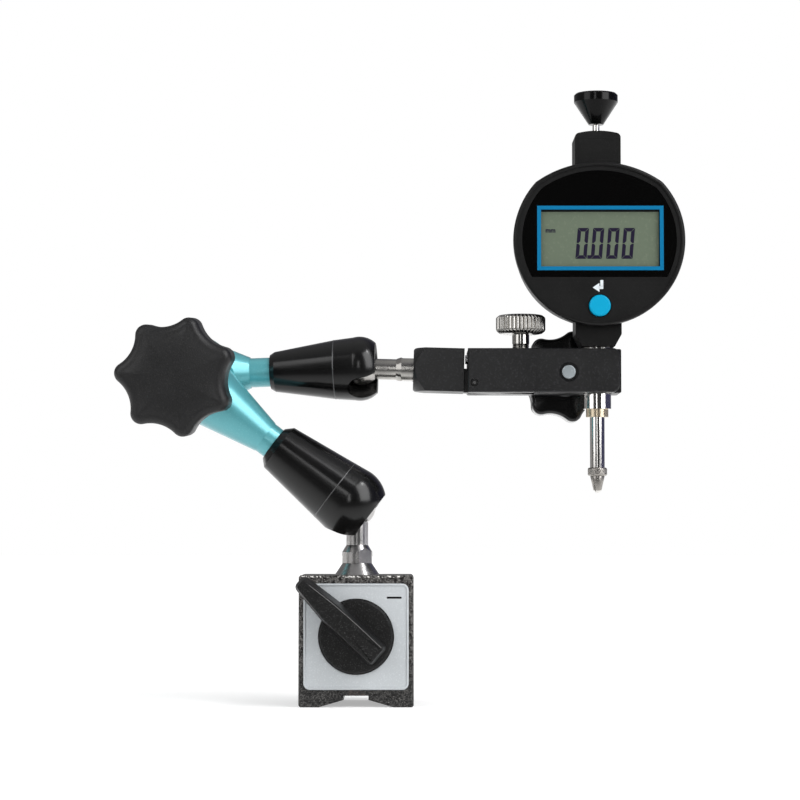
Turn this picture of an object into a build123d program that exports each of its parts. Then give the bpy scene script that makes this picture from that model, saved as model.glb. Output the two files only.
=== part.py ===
"""Articulated indicator stand: a switchable magnetic base, two arms locked by one knob, a clamp head
with fine adjustment, and a digital indicator held by its stem. Millimetres, X to the right, Y away
from the viewer, Z up. The origin lies on the floor, under the ball stud of the base."""

import math
import os

from build123d import *

os.makedirs("parts", exist_ok=True)

# Clearances
running_gap = 0.05
fit_gap = 0.03
ball_gap = 0.10
turning_gap = 0.30
joint_gap = 0.20
overshoot = 1.0

# Magnetic base
base_width = 31.7
base_depth = 34.0
base_height = 36.15
base_edge = 0.5
groove_half_width = 10.36
groove_mouth_half_width = 4.56
groove_depth = 1.68
notch_top = 3.17
notch_half_width = 3.41
notch_edge = 0.35
spacer_thickness = 4.6
tie_rod_radius = 1.25
tie_rod_end_inset = 1.85
tie_rod_inset = 4.0
top_rod_height = 32.8
bottom_rod_height = 6.2

# Magnet switch
rotor_gap = 0.10
switch_height = 19.35
rotor_radius = 9.85
rotor_front_inset = 3.5
rotor_rear_gap = 0.6
rotor_slot_width = 3.0
rotor_slot_length = 12.0
rotor_slot_depth = 3.0
rotor_screw_radius = 2.0
rotor_screw_head_radius = 3.4
rotor_screw_head_height = 1.8
rotor_screw_grip = 2.4
rear_cover_thickness = 1.6
plate_width = 28.9
plate_height = 29.1
plate_corner = 1.8
plate_thickness = 0.8
disc_radius = 10.15
disc_stand_out = 1.6
lever_angle = 135.4
lever_reach = 21.6
lever_tail = 8.7
lever_width = 5.2
lever_tip_width = 4.7
lever_stand_out = 8.4
lever_flare = 0.75
lever_end_radius = 1.2
lever_edge = 0.35
lever_hub_radius = 6.0

# Lower ball stud
stud_foot_radius = 6.3
stud_foot_height = 3.2
stud_body_radius = 4.25
stud_shoulder_radius = 4.15
stud_body_top = 6.3
stud_neck_start = 8.3
stud_neck_radius = 3.05
stud_ball_height = 18.92
stud_flat_distance = 3.65
stud_flat_angle = -52.0
stud_spigot_radius = 3.0
stud_spigot_length = 5.0
lower_ball_radius = 5.15

# Lower arm: length from elbow to ball, other stations from the ball, positive away from the elbow
lower_arm_length = 61.4
lower_arm_rise = 37.3
elbow_roll = 5.3
head_radius = 11.6
head_thickness = 12.6
lap_radius = 16.0
seat_radius = 12.4
lower_cone_radius = 11.0
lower_cone_end = -32.7
lower_cone_end_radius = 4.8
lower_tube_radius = 4.65
lower_tube_end = -18.7
lower_sleeve_start = -29.6
lower_sleeve_start_radius = 5.2
lower_sleeve_shoulder = -27.7
lower_sleeve_shoulder_radius = 7.03
lower_seam = -7.9
lower_seam_radius = 9.5
lower_cap_swell = -4.1
lower_cap_swell_radius = 10.0
lower_cap_round = 0.7
lower_cap_round_radius = 9.65
lower_cap_end = 4.2
lower_cap_end_radius = 7.6
lower_chamber_radius = 6.3

# Upper arm, measured in the same way
upper_arm_length = 49.3
elbow_angle = 39.4
upper_cone_radius = 12.15
upper_cone_end = -32.0
upper_cone_end_radius = 4.45
upper_tube_radius = 4.2
upper_tube_end = -17.1
upper_sleeve_start = -26.2
upper_sleeve_start_radius = 4.95
upper_sleeve_shoulder = -24.9
upper_sleeve_shoulder_radius = 5.75
upper_seam = -7.7
upper_seam_radius = 8.5
upper_cap_swell = -2.1
upper_cap_swell_radius = 9.04
upper_cap_round = 2.1
upper_cap_round_radius = 8.7
upper_cap_end = 4.2
upper_cap_end_radius = 7.3
upper_chamber_radius = 5.9
upper_slot_angle = 50.0

# Elbow clamp
arm_bore_radius = 2.1
push_rod_radius = 2.0
seat_cup_floor = 2.6
seat_cup_rim = 3.4
seat_cup_gap = 0.1
lower_mouth_radius = 4.5
upper_mouth_radius = 4.3
slot_gap = 0.8
bolt_radius = 3.0
bolt_head_radius = 8.0
bolt_head_height = 3.0
bolt_head_edge = 0.6
bolt_socket_size = 5.0
bolt_socket_depth = 2.0
washer_radius = 8.0
washer_thickness = 1.0
wedge_radius = 5.2
wedge_tip_radius = 4.0
wedge_taper_length = 4.0
wedge_length = 9.6
wedge_stand_out = 0.3
spring_mean_radius = 4.1
spring_wire_radius = 0.35
spring_turns = 4

# Elbow knob
knob_tip_radius = 16.8
knob_valley_radius = 13.9
knob_lobe_radius = 2.95
knob_lobes = 7
knob_lobe_angle = 176.2
knob_thickness = 12.5
knob_front_round = 2.8
knob_back_round = 1.6
knob_hub_radius = 8.2
knob_hub_height = 3.0
insert_radius = 5.0
insert_length = 10.0
bolt_reach = 9.0

# Shank and its ball stud, measured from the upper ball along the shank
shank_drop = 1.5
upper_ball_radius = 4.85
upper_neck_radius = 2.97
upper_neck_end = 9.8
upper_collar_radius = 3.72
upper_collar_start = 11.3
upper_flat_distance = 3.15
upper_flat_angle = 45.0
upper_spigot_radius = 2.5
upper_spigot_length = 7.0
shank_start = 14.8
shank_end = 29.25
shank_size = 12.4
shank_nose_radius = 5.8
shank_nose_slope = 40.0
shank_edge = 0.3
tongue_height = 6.8
tongue_width = 6.0
tongue_overhang = 3.1

# Clamp head, measured from the shank's end and the upper ball's height
head_gap = 1.06
head_length = 43.82
head_drop = 7.18
head_height = 12.55
jaw_front = 8.0
jaw_back = 4.15
jaw_end_inset = 0.73
jaw_corner = 2.0
body_front = 3.8
body_back = 10.0
head_bevel = 0.3
slot_height = 7.9
slot_side_gap = 0.3
slot_end_gap = 0.7
pivot_inset = 1.82
pivot_rise = 2.75
pivot_radius = 1.0
pivot_end_inset = 0.15
preload_drop = 2.8
preload_radius = 1.3
preload_length = 7.0
preload_nose_gap = 0.3
set_screw_offset = 14.55
set_screw_radius = 1.5
set_screw_length = 4.0
set_screw_socket = 1.5
set_screw_socket_depth = 1.6
fine_screw_inset = 15.32
fine_shaft_radius = 2.45
fine_head_radius = 7.1
fine_head_rise = 4.55
fine_head_height = 5.45
fine_head_bevel = 1.0
fine_flutes = 24
fine_flute_radius = 0.55
fine_tip_gap = 0.45
clamp_offset = 8.55
clamp_rise = 5.75
clamp_screw_radius = 1.85
clamp_hole_gap = 0.35
clamp_hole_bevel = 0.65
clamp_knob_tip = 13.5
clamp_knob_valley = 11.3
clamp_knob_lobe = 2.7
clamp_knob_thickness = 11.0
clamp_knob_round = 2.0
clamp_hub_radius = 6.0
clamp_hub_height = 2.0
clamp_screw_grip = 8.0
clamp_screw_inset = 0.2
clamp_screw_edge = 0.2

# Digital indicator: heights of the dial's parts from its middle, the rest from their neighbours
stem_inset = 6.65
stem_radius = 4.0
stem_drop = 4.45
stem_grip = 5.1
stem_bore_radius = 2.6
ring_radius = 3.2
ring_length = 2.3
ring_grip = 3.0
dial_rise = 29.9
dial_radius = 24.35
dial_top = 22.2
dial_top_radius = 30.9
dial_front = 12.0
bezel_thickness = 3.2
bezel_edge = 0.8
bezel_step_inset = 1.1
bezel_step_depth = 0.35
case_back = 8.0
case_inset = 1.2
case_edge = 1.2
case_wall = 2.2
cover_inset = 1.3
cover_thickness = 1.6
lens_inset = 2.45
lens_drop = 10.65
lens_thickness = 0.9
lens_recess = 0.1
window_shift = 0.19
window_rise = 1.06
window_width = 33.4
window_height = 15.9
panel_margin = 0.8
panel_thickness = 1.6
panel_gap = 0.1
box_width = 13.1
box_back = 5.8
box_corner = 1.4
upper_box_rise = 31.9
upper_box_sag = 0.9
upper_box_front = 6.6
lower_box_gap = 0.6
lower_box_front = 7.2
lower_box_taper_height = 3.4
lower_box_taper = 1.9
boss_x = 15.6
boss_z = 11.4
boss_radius = 2.4
cover_screw_radius = 0.9
cover_screw_head = 1.5
cover_screw_head_height = 0.8
cover_screw_length = 6.0
button_drop = 18.8
button_radius = 3.05
button_gap = 0.2
button_travel = 0.7
button_stand_out = 1.0
button_edge = 0.5
button_flange_width = 7.8
button_flange_drop = 3.2
button_flange_height = 0.8
button_flange_gap = 0.1
board_width = 24.0
board_height = 27.0
board_drop = 0.5
board_tab_width = 9.0
board_tab_drop = 1.55
board_thickness = 1.0
board_front = 6.2
post_radius = 1.2
post_inset = 1.6
switch_dome_radius = 1.5
switch_dome_height = 0.9
encoder_width = 9.0
encoder_height = 16.0
encoder_drop = 2.8
encoder_gap = 0.35
battery_radius = 8.0
battery_thickness = 3.2
battery_drop = 4.8
battery_gap = 0.3
battery_edge = 0.3

# Indicator spindle
plunger_radius = 2.1
plunger_reach = 14.5
plunger_shoulder_rise = 15.2
plunger_thin_radius = 1.0
scale_width = 3.6
scale_thickness = 0.8
scale_drop = 19.8
scale_rise = 5.7
scale_seat = 1.7
collar_radius = 2.77
collar_height = 2.3
point_thread_radius = 1.0
point_thread_length = 4.0
point_tip_radius = 1.2
point_taper_height = 4.2
contact_ball_radius = 1.0
contact_reach = 0.76
cap_rim_radius = 6.3
cap_rim_height = 2.5
cap_rise = 11.7
cap_neck_radius = 2.1
cap_neck_height = 6.5
cap_rim_edge = 0.5
cap_crown = 1.4
return_wire_radius = 0.2
return_mean_radius = 1.75
return_turns = 7
return_bore_radius = 2.4
spring_roof = 1.5

# Places that follow from the sizes
base_front = -base_depth / 2
tie_rod_length = base_width - 2 * tie_rod_end_inset
rotor_length = (
    base_depth
    - rotor_front_inset
    - rotor_screw_head_height
    - rotor_rear_gap
    - rear_cover_thickness
)
spacer_half = spacer_thickness / 2
rotor_bore = rotor_radius + rotor_gap
lower_ball = Vector(0, 0, base_height + stud_ball_height)
lower_axis = Vector(
    math.cos(math.radians(lower_arm_rise)), 0, -math.sin(math.radians(lower_arm_rise))
)
elbow = lower_ball - lower_axis * lower_arm_length
elbow_axis = Vector(0, 1, 0).rotate(Axis((0, 0, 0), lower_axis), elbow_roll)
head_offset = head_thickness + joint_gap * 2
upper_elbow = elbow + elbow_axis * head_offset
upper_axis = lower_axis.rotate(Axis((0, 0, 0), elbow_axis), -elbow_angle)
upper_ball = upper_elbow + upper_axis * upper_arm_length
shank_axis = Vector(math.cos(math.radians(shank_drop)), 0, -math.sin(math.radians(shank_drop)))
lower_arm = Plane(origin=elbow, x_dir=lower_axis, z_dir=elbow_axis)
lower_socket = Plane(origin=lower_ball, x_dir=lower_axis, z_dir=(0, 1, 0))
upper_arm = Plane(origin=upper_elbow, x_dir=upper_axis, z_dir=elbow_axis)
upper_socket = Plane(
    origin=upper_ball,
    x_dir=upper_axis,
    z_dir=elbow_axis.rotate(Axis((0, 0, 0), upper_axis), -upper_slot_angle),
)
shank = Plane(origin=upper_ball, x_dir=shank_axis, z_dir=(0, 1, 0))
washer_face = head_thickness / 2 + wedge_stand_out
knob_face = washer_face + washer_thickness + running_gap

# Places in the head and the indicator: X and Z from the upper ball, depths from it away from the viewer
head_left = shank_end + head_gap
head_right = head_left + head_length
head_bottom = -head_drop
head_top = head_bottom + head_height
jaw_right = head_right - jaw_end_inset
body_plane = -body_front
jaw_plane = -jaw_back
pivot_x = head_left + pivot_inset
pivot_z = head_bottom + pivot_rise
pivot_front = pivot_end_inset - jaw_front
pivot_back = body_back - pivot_end_inset
preload_z = head_top - preload_drop
fine_screw_x = head_left + fine_screw_inset
fine_head_bottom = head_top + fine_head_rise
fine_head_top = fine_head_bottom + fine_head_height
tongue_end = fine_screw_x + tongue_overhang
gauge_x = head_right - stem_inset
clamp_x = gauge_x - clamp_offset
clamp_z = head_bottom + clamp_rise
set_screw_x = gauge_x - set_screw_offset
stem_bottom = head_bottom - stem_drop
ring_bottom = stem_bottom - ring_length
lower_box_bottom = head_top + lower_box_gap
lower_box_taper_top = lower_box_bottom + lower_box_taper_height
stem_top = lower_box_bottom + stem_grip
dial_z = lower_box_bottom + dial_rise
dial_face = bezel_step_depth - dial_front
bezel_back = bezel_thickness - dial_front
cover_front = case_back - cover_thickness
lens_bottom = dial_z - lens_drop
window_x = gauge_x + window_shift
window_z = dial_z + window_rise
upper_box_top = dial_z + upper_box_rise
button_z = dial_z - button_drop
board_z = dial_z - board_drop
board_tab_bottom = button_z - board_tab_drop
board_plane = -board_front
encoder_z = dial_z - encoder_drop
battery_z = dial_z - battery_drop
plunger_bottom = ring_bottom - plunger_reach
plunger_shoulder = dial_z + plunger_shoulder_rise
scale_bottom = dial_z - scale_drop
scale_top = dial_z + scale_rise
collar_bottom = plunger_bottom - collar_height
point_tip_bottom = collar_bottom - point_taper_height
contact_bottom = point_tip_bottom - contact_reach
cap_top = upper_box_top + cap_rise
cap_rim_bottom = cap_top - cap_rim_height
cap_neck_bottom = cap_rim_bottom - cap_neck_height
plunger_top = cap_top - cap_crown
spring_ceiling = upper_box_top - spring_roof


def facing(depth):
    """Sketch plane at one depth, looking at the viewer, with X to the right and Z up."""
    return Plane.XZ.offset(-depth)


def level(height):
    """Sketch plane at one height, looking up."""
    return Plane.XY.offset(height)


def head_facing(depth):
    """Sketch plane that looks at the viewer, at a depth behind the upper ball, with its origin in line."""
    return Plane(origin=upper_ball + Vector(0, depth, 0), x_dir=(1, 0, 0), z_dir=(0, -1, 0))


def head_level(height):
    """Sketch plane that looks up, at a height over the upper ball."""
    return Plane(origin=upper_ball + Vector(0, 0, height), x_dir=(1, 0, 0), z_dir=(0, 0, 1))


def head_side(distance):
    """Sketch plane that looks to the right, at a distance to the right of the upper ball."""
    return Plane(origin=upper_ball + Vector(distance, 0, 0), x_dir=(0, 1, 0), z_dir=(1, 0, 0))


def along(plane, distance):
    """Sketch plane square to a plane's x axis, at a distance along it."""
    return Plane(
        origin=plane.origin + plane.x_dir * distance,
        x_dir=plane.y_dir,
        z_dir=plane.x_dir,
    )


def turned(plane, points, mode=Mode.ADD):
    """Turn a closed half profile, given as distance along the axis and radius, about a plane's x axis."""
    with BuildSketch(plane) as profile:
        with BuildLine():
            Polyline(*points, close=True)
        make_face()
    revolve(profile.sketch, axis=Axis(plane.origin, plane.x_dir), mode=mode)


def upright(distance):
    """Turning plane on a vertical axis to the right of the upper ball, whose x axis is up."""
    return Plane(
        origin=upper_ball + Vector(distance, 0, 0), x_dir=(0, 0, 1), z_dir=(0, 1, 0)
    )


def round_bar(plane, radius, length, x=0, y=0, mode=Mode.ADD):
    """Extrude a circle from a plane."""
    with BuildSketch(plane) as profile:
        with Locations((x, y)):
            Circle(radius)
    extrude(profile.sketch, amount=length, mode=mode)


def star_outline(plane, tip, valley, lobe, first_angle):
    """Outline of a seven-lobed grip: tip arcs and valley arcs that meet tangentially."""
    half = math.pi / knob_lobes
    reach = tip - lobe
    swing = reach * math.cos(half)
    hollow = (valley**2 + reach**2 - 2 * swing * valley - lobe**2) / (2 * (lobe - valley + swing))
    far = valley + hollow

    def polar(radius, angle):
        return (radius * math.cos(angle), radius * math.sin(angle))

    def tangent_point(tip_angle, side):
        centre = polar(reach, tip_angle)
        other = polar(far, tip_angle + side * half)
        share = lobe / (lobe + hollow)
        return tuple(a + (b - a) * share for a, b in zip(centre, other))

    start = math.radians(first_angle)
    with BuildSketch(plane) as outline:
        with BuildLine():
            for number in range(knob_lobes):
                angle = start + 2 * half * number
                before = tangent_point(angle, -1)
                after = tangent_point(angle, 1)
                following = tangent_point(angle + 2 * half, -1)
                ThreePointArc(before, polar(tip, angle), after)
                ThreePointArc(after, polar(valley, angle + half), following)
        make_face()
    return outline.sketch


def dial_outline(depth, inset=0.0):
    """Round dial outline with a flatter top at one depth, made smaller all round by an inset."""
    with BuildSketch(head_facing(depth)) as outline:
        with Locations((gauge_x, dial_z)):
            Circle(dial_radius - inset)
        with Locations((gauge_x, dial_z + dial_top - dial_top_radius)):
            Circle(dial_top_radius - inset, mode=Mode.INTERSECT)
    return outline.sketch


def save(part, name):
    """Label a finished piece and write it."""
    part.label = name
    export_step(part, f"parts/{name}.step")


def slab(low, high, mode=Mode.ADD):
    """Box between two opposite corners."""
    size = [b - a for a, b in zip(low, high)]
    with Locations(low):
        Box(*size, align=(Align.MIN, Align.MIN, Align.MIN), mode=mode)


def head_slab(low, high, mode=Mode.ADD):
    """Box between two opposite corners measured from the upper ball."""
    low, high = [tuple(a + b for a, b in zip(upper_ball, corner)) for corner in (low, high)]
    slab(low, high, mode)


# Base body: two iron poles with brass between them
def tie_rod_bars(radius, length, mode=Mode.ADD):
    """The four cross pins, or their holes."""
    reach = base_depth / 2 - tie_rod_inset
    for height in (bottom_rod_height, top_rod_height):
        for depth in (-reach, reach):
            round_bar(Plane.YZ.offset(-length / 2), radius, length, depth, height, mode)


def base_holes():
    """Rotor bore, stud hole and pin holes, cut alike from each part of the base body."""
    round_bar(facing(base_depth / 2), rotor_bore, base_depth, 0, switch_height, Mode.SUBTRACT)
    stud_hole = stud_spigot_length + turning_gap
    round_bar(
        level(base_height - stud_hole), stud_spigot_radius + running_gap, stud_hole, mode=Mode.SUBTRACT
    )
    tie_rod_bars(tie_rod_radius + fit_gap, tie_rod_length + 2 * fit_gap, Mode.SUBTRACT)


for side, name in ((-1, "pole_left"), (1, "pole_right")):
    with BuildPart() as pole:
        with BuildSketch(facing(base_depth / 2)) as section:
            with BuildLine():
                Polyline(
                    (side * base_width / 2, 0),
                    (side * groove_half_width, 0),
                    (side * groove_mouth_half_width, groove_depth),
                    (side * notch_half_width, groove_depth + notch_edge),
                    (side * notch_half_width, notch_top),
                    (side * spacer_half, notch_top),
                    (side * spacer_half, base_height),
                    (side * base_width / 2, base_height),
                    close=True,
                )
            make_face()
        extrude(amount=base_depth)
        outer_face = pole.faces().sort_by(Axis.X)[-1 if side > 0 else 0]
        chamfer(outer_face.edges(), base_edge)
        base_holes()
    save(pole.part, name)

with BuildPart() as top_spacer:
    slab((-spacer_half, -base_depth / 2, switch_height), (spacer_half, base_depth / 2, base_height))
    base_holes()
save(top_spacer.part, "top_spacer")

with BuildPart() as bottom_spacer:
    slab((-spacer_half, -base_depth / 2, notch_top), (spacer_half, base_depth / 2, switch_height))
    base_holes()
save(bottom_spacer.part, "bottom_spacer")

with BuildPart() as tie_rods:
    tie_rod_bars(tie_rod_radius, tie_rod_length)
save(tie_rods.part, "tie_rods")

with BuildPart() as face_plate:
    with BuildSketch(facing(base_front)):
        with Locations((0, switch_height)):
            RectangleRounded(plate_width, plate_height, plate_corner)
            Circle(disc_radius + turning_gap, mode=Mode.SUBTRACT)
    extrude(amount=plate_thickness)
save(face_plate.part, "face_plate")

with BuildPart() as rear_cover:
    round_bar(
        facing(base_depth / 2), rotor_bore - fit_gap, rear_cover_thickness, 0, switch_height
    )
save(rear_cover.part, "rear_cover")


# Magnet switch: moulded lever, rotor and its screw
rotor_front = base_front + rotor_front_inset
rotor_back = rotor_front + rotor_length
disc_front = base_front - plate_thickness - disc_stand_out

with BuildPart() as switch_lever:
    round_bar(facing(base_front), disc_radius, plate_thickness + disc_stand_out, 0, switch_height)
    round_bar(facing(rotor_front), lever_hub_radius, rotor_front_inset, 0, switch_height)
    with BuildSketch(facing(rotor_front + rotor_slot_depth - joint_gap)):
        with Locations((0, switch_height)):
            Rectangle(rotor_slot_width - 2 * running_gap, rotor_slot_length - 2 * running_gap)
    extrude(amount=rotor_slot_depth - joint_gap)
    lever_plane = Plane(
        origin=(0, disc_front, switch_height),
        x_dir=(math.cos(math.radians(lever_angle)), 0, math.sin(math.radians(lever_angle))),
        z_dir=(0, -1, 0),
    )
    for depth, flare in ((0, lever_flare), (lever_stand_out, 0)):
        with BuildSketch(lever_plane.offset(depth)) as bar_section:
            with BuildLine():
                Polyline(
                    (-lever_tail - flare, -lever_width / 2 - flare),
                    (lever_reach, -lever_tip_width / 2 - flare),
                    (lever_reach, lever_tip_width / 2 + flare),
                    (-lever_tail - flare, lever_width / 2 + flare),
                    close=True,
                )
            make_face()
            fillet(bar_section.vertices().group_by(SortBy.DISTANCE)[-1], lever_end_radius)
    loft()
    bar_front = switch_lever.faces().sort_by(Axis.Y)[0]
    chamfer(bar_front.edges(), lever_edge)
    round_bar(
        facing(rotor_front + rotor_slot_depth),
        rotor_screw_radius + fit_gap,
        rotor_slot_depth + rotor_screw_grip,
        0,
        switch_height,
        Mode.SUBTRACT,
    )
save(switch_lever.part, "switch_lever")

with BuildPart() as rotor_magnet:
    round_bar(facing(rotor_back), rotor_radius, rotor_length, 0, switch_height)
    with BuildSketch(facing(rotor_front + rotor_slot_depth)):
        with Locations((0, switch_height)):
            Rectangle(rotor_slot_width, rotor_slot_length)
    extrude(amount=rotor_slot_depth, mode=Mode.SUBTRACT)
    round_bar(
        facing(rotor_back), rotor_screw_radius + fit_gap, rotor_length, 0, switch_height, Mode.SUBTRACT
    )
save(rotor_magnet.part, "rotor_magnet")

with BuildPart() as rotor_screw:
    round_bar(
        facing(rotor_back + rotor_screw_head_height),
        rotor_screw_head_radius,
        rotor_screw_head_height,
        0,
        switch_height,
    )
    round_bar(
        facing(rotor_back),
        rotor_screw_radius,
        rotor_length + rotor_screw_grip - fit_gap,
        0,
        switch_height,
    )
save(rotor_screw.part, "rotor_screw")


# Ball studs
def turned_stud(plane, ball, neck, points):
    """Turn a ball stud about a plane's x axis, from the ball at the origin through the given steps."""
    join = math.sqrt(ball**2 - neck**2)
    middle = (math.pi + math.atan2(neck, join)) / 2
    with BuildSketch(plane) as profile:
        with BuildLine():
            ThreePointArc((-ball, 0), (ball * math.cos(middle), ball * math.sin(middle)), (join, neck))
            Polyline((join, neck), *points, (points[-1][0], 0), (-ball, 0))
        make_face()
    revolve(profile.sketch, axis=Axis(plane.origin, plane.x_dir))


def wrench_flats(plane, distance, stock, length):
    """Cut two opposite flats over a length in front of a plane that is square to the stud."""
    with BuildSketch(plane) as flats:
        with Locations((distance + stock, 0), (-distance - stock, 0)):
            Rectangle(2 * stock, 4 * stock)
    extrude(flats.sketch, amount=length, mode=Mode.SUBTRACT)


lower_stud_plane = Plane(origin=lower_ball, x_dir=(0, 0, -1), z_dir=(0, 1, 0))
with BuildPart() as lower_ball_stud:
    turned_stud(
        lower_stud_plane,
        lower_ball_radius,
        stud_neck_radius,
        [
            (stud_ball_height - stud_neck_start, stud_neck_radius),
            (stud_ball_height - stud_body_top, stud_body_radius),
            (stud_ball_height - stud_foot_height, stud_body_radius),
            (stud_ball_height - stud_foot_height, stud_shoulder_radius),
            (stud_ball_height, stud_foot_radius),
            (stud_ball_height, stud_spigot_radius),
            (stud_ball_height + stud_spigot_length, stud_spigot_radius),
        ],
    )
    wrench_flats(
        level(base_height + stud_foot_height).rotated((0, 0, stud_flat_angle)),
        stud_flat_distance,
        stud_body_radius,
        stud_neck_start - stud_foot_height,
    )
save(lower_ball_stud.part, "lower_ball_stud")

with BuildPart() as upper_ball_stud:
    turned_stud(
        shank,
        upper_ball_radius,
        upper_neck_radius,
        [
            (upper_neck_end, upper_neck_radius),
            (upper_collar_start, upper_collar_radius),
            (shank_start, upper_collar_radius),
            (shank_start, upper_spigot_radius),
            (shank_start + upper_spigot_length, upper_spigot_radius),
        ],
    )
    wrench_flats(
        along(shank, upper_neck_end).rotated((0, 0, upper_flat_angle)),
        upper_flat_distance,
        upper_collar_radius,
        shank_start - upper_neck_end - joint_gap,
    )
save(upper_ball_stud.part, "upper_ball_stud")


# Arms: tube, sleeve and slotted cap, with the seat, rod and wedge that clamp the ball
def arm_tube(plane, cone, cone_end, cone_end_radius, tube_radius, tube_end, lap_side):
    """Cone and tube with the flat elbow head, bored for the wedge and the push rod."""
    turned(plane, [(0, 0), (0, cone), (cone_end, cone_end_radius), (cone_end, 0)])
    turned(plane, [(cone_end, 0), (cone_end, tube_radius), (tube_end, tube_radius), (tube_end, 0)])
    half = head_thickness / 2
    round_bar(plane.offset(lap_side * half), lap_radius, lap_side * cone, mode=Mode.SUBTRACT)
    round_bar(plane.offset(-lap_side * half), seat_radius, -lap_side * cone, mode=Mode.SUBTRACT)
    with BuildSketch(plane.offset(-half)) as head:
        Circle(head_radius)
    extrude(head.sketch, amount=head_thickness)
    round_bar(
        plane.offset(-half), wedge_radius + running_gap, head_thickness, mode=Mode.SUBTRACT
    )
    round_bar(along(plane, 0), arm_bore_radius, tube_end, mode=Mode.SUBTRACT)


def ball_sleeve(plane, points, tube_radius, tube_end, seam, chamber):
    """Tapered sleeve on the end of an arm, with the chamber behind the ball."""
    bore = tube_radius + fit_gap
    start = points[0][0]
    turned(
        plane,
        [*points, (seam, chamber), (tube_end, chamber), (tube_end, bore), (start, bore)],
    )


def ball_cap(plane, seam_point, swell, crown, end_point, ball, mouth, slot_half):
    """Cap of the ball housing, about a ball at the plane's origin: domed, bored and slotted for the neck."""
    with BuildSketch(plane) as profile:
        with BuildLine():
            Line(seam_point, swell)
            ThreePointArc(swell, crown, end_point)
            Polyline(end_point, (end_point[0], 0), (seam_point[0], 0), seam_point)
        make_face()
    revolve(profile.sketch, axis=Axis(plane.origin, plane.x_dir))
    socket = ball + ball_gap
    round_bar(along(plane, seam_point[0]), socket, -seam_point[0], mode=Mode.SUBTRACT)
    with Locations(plane.origin):
        Sphere(socket, mode=Mode.SUBTRACT)
    round_bar(along(plane, 0), mouth, end_point[0], mode=Mode.SUBTRACT)
    slot_depth = swell[1] * 2
    with BuildSketch(plane.offset(-slot_half)) as slot:
        Rectangle(slot_depth, slot_depth, align=(Align.MIN, Align.MIN))
    extrude(slot.sketch, amount=2 * slot_half, mode=Mode.SUBTRACT)
    slot_end = Plane(origin=plane.origin, x_dir=plane.x_dir, z_dir=plane.y_dir)
    round_bar(slot_end, slot_half, slot_depth, mode=Mode.SUBTRACT)


def ball_seat(plane, ball):
    """Cup that the push rod presses against the ball at the plane's origin."""
    socket = ball + ball_gap
    back = -socket - seat_cup_floor
    turned(
        plane,
        [
            (back, 0),
            (back, socket - seat_cup_gap),
            (-seat_cup_rim, socket - seat_cup_gap),
            (-seat_cup_rim, 0),
        ],
    )
    with Locations(plane.origin):
        Sphere(socket, mode=Mode.SUBTRACT)


def push_rod(plane, arm_length, ball):
    """Rod from the elbow's wedge to the ball seat."""
    start = wedge_radius + running_gap
    back = arm_length - ball - ball_gap - seat_cup_floor
    round_bar(along(plane, start), push_rod_radius, back - start)


def wedge_plane(plane, side):
    """Turning plane on an arm's elbow axis, whose x axis points to one side."""
    return Plane(origin=plane.origin, x_dir=plane.z_dir * side, z_dir=plane.x_dir)


def wedge(plane, side):
    """Cone that slides on the bolt and spreads the push rod, thick end to one side."""
    thick_end = head_thickness / 2 + wedge_stand_out
    thin_end = thick_end - wedge_length
    bore = bolt_radius + running_gap
    turned(
        wedge_plane(plane, side),
        [
            (thick_end, bore),
            (thick_end, wedge_radius),
            (thin_end + wedge_taper_length, wedge_radius),
            (thin_end, wedge_tip_radius),
            (thin_end, bore),
        ],
    )


with BuildPart() as lower_arm_tube:
    arm_tube(
        lower_arm,
        lower_cone_radius,
        lower_arm_length + lower_cone_end,
        lower_cone_end_radius,
        lower_tube_radius,
        lower_arm_length + lower_tube_end,
        1,
    )
save(lower_arm_tube.part, "lower_arm_tube")

with BuildPart() as lower_sleeve:
    ball_sleeve(
        lower_socket,
        [
            (lower_sleeve_start, lower_sleeve_start_radius),
            (lower_sleeve_shoulder, lower_sleeve_shoulder_radius),
            (lower_seam, lower_seam_radius),
        ],
        lower_tube_radius,
        lower_tube_end,
        lower_seam,
        lower_chamber_radius,
    )
save(lower_sleeve.part, "lower_sleeve")

with BuildPart() as lower_socket_cap:
    ball_cap(
        lower_socket,
        (lower_seam, lower_seam_radius),
        (lower_cap_swell, lower_cap_swell_radius),
        (lower_cap_round, lower_cap_round_radius),
        (lower_cap_end, lower_cap_end_radius),
        lower_ball_radius,
        lower_mouth_radius,
        stud_neck_radius + slot_gap,
    )
save(lower_socket_cap.part, "lower_socket_cap")

with BuildPart() as lower_ball_seat:
    ball_seat(lower_socket, lower_ball_radius)
save(lower_ball_seat.part, "lower_ball_seat")

with BuildPart() as lower_push_rod:
    push_rod(lower_arm, lower_arm_length, lower_ball_radius)
save(lower_push_rod.part, "lower_push_rod")

with BuildPart() as lower_wedge:
    wedge(lower_arm, -1)
save(lower_wedge.part, "lower_wedge")

with BuildPart() as upper_arm_tube:
    arm_tube(
        upper_arm,
        upper_cone_radius,
        upper_arm_length + upper_cone_end,
        upper_cone_end_radius,
        upper_tube_radius,
        upper_arm_length + upper_tube_end,
        -1,
    )
save(upper_arm_tube.part, "upper_arm_tube")

with BuildPart() as upper_sleeve:
    ball_sleeve(
        upper_socket,
        [
            (upper_sleeve_start, upper_sleeve_start_radius),
            (upper_sleeve_shoulder, upper_sleeve_shoulder_radius),
            (upper_seam, upper_seam_radius),
        ],
        upper_tube_radius,
        upper_tube_end,
        upper_seam,
        upper_chamber_radius,
    )
save(upper_sleeve.part, "upper_sleeve")

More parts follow.
